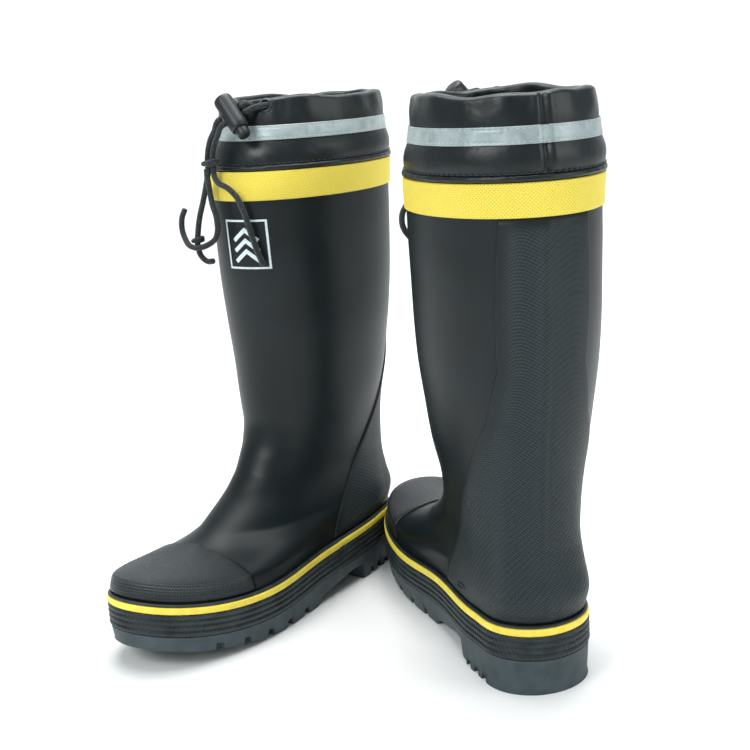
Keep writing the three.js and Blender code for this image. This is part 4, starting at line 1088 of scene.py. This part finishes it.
def turned_part(name, side, profile, around=56):
    """A turned shape on the lock's axis: radius and distance from the barrel's closed end, point
    by point, swept round and closed to a point at both ends."""
    profile = np.asarray(profile, float)
    spin = np.linspace(0, 2 * np.pi, around, endpoint=False)
    third = np.cross(hole_axis, lock_axis)
    ring = np.cos(spin)[:, None] * hole_axis + np.sin(spin)[:, None] * third
    points = (closed_end + profile[:, 1][:, None, None] * lock_axis + profile[:, 0][:, None, None]
              * ring[None])
    made = make_piece(name, side, points, grid_faces(len(profile), around, close_columns=True))
    weld(made)
    return made


def cross_hole(piece, side, spare):
    """Cuts the oval cross hole through a lock piece: a rounded slot along the hole's axis, from
    a grid of its outline carried straight through."""
    spin = np.linspace(0, 2 * np.pi, 24, endpoint=False)
    long, wide = 5.3 + spare, 2.7 + spare
    along = HOLE_AT + (long - wide) * np.sign(np.cos(spin)) + wide * np.cos(spin)
    third = np.cross(hole_axis, lock_axis)
    outline = closed_end + along[:, None] * lock_axis + (wide * np.sin(spin))[:, None] * third
    points = outline[None] + np.array([-14, 14])[:, None, None] * hole_axis
    cutter = make_piece("lock_slot", side, points, grid_faces(2, 24, close_columns=True))
    fill_ends(cutter)
    slot = piece.modifiers.new("slot", "BOOLEAN")
    slot.operation, slot.object, slot.solver = "DIFFERENCE", cutter, "EXACT"
    bpy.context.view_layer.update()
    cut = bpy.data.meshes.new_from_object(
        piece.evaluated_get(bpy.context.evaluated_depsgraph_get()))
    piece.modifiers.clear()
    piece.data = cut
    bpy.data.objects.remove(cutter)
    cut.set_sharp_from_angle(angle=np.radians(35))


for side in SIDES:
    R = BARREL_RADIUS
    barrel = turned_part("lock_barrel", side, [
        [0.001, 0.3], [R - 3.2, 0], [R - 1.6, 0.35], [R - 0.5, 1.2], [R - 0.1, 2.4], [R, 4.5],
        [R, 9.2],
        [R, 12], [R, 22], [R, 25], [R - 0.15, 27.6], [R - 0.5, 29.2], [R - 1.1, 30], [5.25, 30],
        [5.2, 29.6],
        [5.2, 2.6], [0.001, 2.5]])
    cross_hole(barrel, side, 0)
    settle(barrel, "boots", [f"{side}_lock_barrel"], "lock_plastic", spark_acetal)
    button = turned_part("lock_plunger", side, [
        [0.001, 9.7], [4.7, 9.7], [4.9, 10.0], [4.9, 20], [4.9, 33.4], [4.85, 35.2], [4.4, 36.4],
        [3.4, 36.95],
        [0.001, 37]])
    cross_hole(button, side, 0.2)
    settle(button, f"{side}_plunger", [f"{side}_lock_plunger"], "lock_plastic", spark_acetal)

# ------------------------------------------------------------------ lock spring
# A short coil of drawn steel wire between the barrel's floor and the button. It stands on the
# floor and rides with the boot, so it keeps its length when the button moves.
WIRE, COIL_RADIUS, COIL_FOOT, COIL_LENGTH, COIL_TURNS = 0.8, 4.1, 2.8, 6.6, 3


def coil(side):
    """A round wire on a helix about the lock's axis: distance along rises evenly with the turn,
    and the wire's own circle lies across the path and shrinks to a point at both ends."""
    turn = np.linspace(0, 2 * np.pi * COIL_TURNS, 28 * COIL_TURNS + 1)[:, None, None]
    spin = np.linspace(0, 2 * np.pi, 10, endpoint=False)[None, :, None]
    fat = np.full((len(turn), 1, 1), WIRE / 2)
    fat[[0, -1]] = 0.001
    height = COIL_FOOT + WIRE / 2 + (COIL_LENGTH - WIRE) * turn / turn[-1]
    outward = np.cos(turn) * hole_axis + np.sin(turn) * np.cross(hole_axis, lock_axis)
    points = (closed_end + (height + fat * np.sin(spin)) * lock_axis
              + (COIL_RADIUS + fat * np.cos(spin)) * outward)
    return make_piece("lock_spring", side, points, grid_faces(len(turn), 10, close_columns=True))


for side in SIDES:
    spring = coil(side)
    weld(spring)
    settle(spring, "boots", [f"{side}_lock_spring"], "steel", pressed_steel)
    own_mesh(spring)

# ------------------------------------------------------------------ floor and light
# A pale seamless sweep under broad soft lamps.
pale_card = blank("pale_card")
surfaced(pale_card, Base_Color=linear("#f4f5f5"), Roughness=0.9, Specular_IOR_Level=0.1)
along, across = np.meshgrid(np.linspace(0, 1, 60), np.array([-4.0, 4.0]), indexing="ij")
depth = np.clip(along * 8 - 3, -3, 2.5)
rise = 2.6 * smooth((along * 8 - 5.0) / 3) ** 1.3
sweep_points = np.stack([across + PAIR_SHIFT[0] / 1000, depth, rise], -1).reshape(-1, 3)
sweep_mesh = bpy.data.meshes.new("sweep")
sweep_mesh.from_pydata(sweep_points.tolist(), [], grid_faces(60, 2)[:, ::-1].tolist())
sweep_mesh.polygons.foreach_set("use_smooth", np.ones(len(sweep_mesh.polygons), bool))
sweep = bpy.data.objects.new("sweep", sweep_mesh)
bpy.context.collection.objects.link(sweep)
sweep_mesh.materials.append(pale_card)

world = bpy.data.worlds.new("studio")
bpy.context.scene.world = world
world.use_nodes = True
world.node_tree.nodes["Background"].inputs["Color"].default_value = linear("#e6f1f5")
world.node_tree.nodes["Background"].inputs["Strength"].default_value = 0.38
for name, place, aim, size, power in (
        ("key", (-1.3, -1.4, 1.6), (0, 0, 0.2), 1.0, 26),
    ("fill", (1.7, -0.9, 0.9), (0, 0, 0.2), 1.2, 11),
        ("top", (0.1, 0.2, 1.9), (0, 0, 0), 1.4, 32),
    ("wall", (0.1, 0.8, 2.2), (0.1, 2.3, 0.7), 1.6, 34)):
    lamp = bpy.data.lights.new(name, "AREA")
    lamp.energy, lamp.size = power, size
    light = bpy.data.objects.new(name, lamp)
    bpy.context.collection.objects.link(light)
    at = np.array(place)
    away = (at - aim) / np.linalg.norm(at - aim)
    side_on = np.cross([0, 1, 0.01], away)
    side_on /= np.linalg.norm(side_on)
    turn = np.eye(4)
    turn[:3, 0], turn[:3, 1], turn[:3, 2], turn[:3, 3] = side_on, np.cross(away, side_on), away, at
    light.matrix_world = Matrix(turn.tolist())
bpy.context.scene.view_settings.view_transform = "Standard"
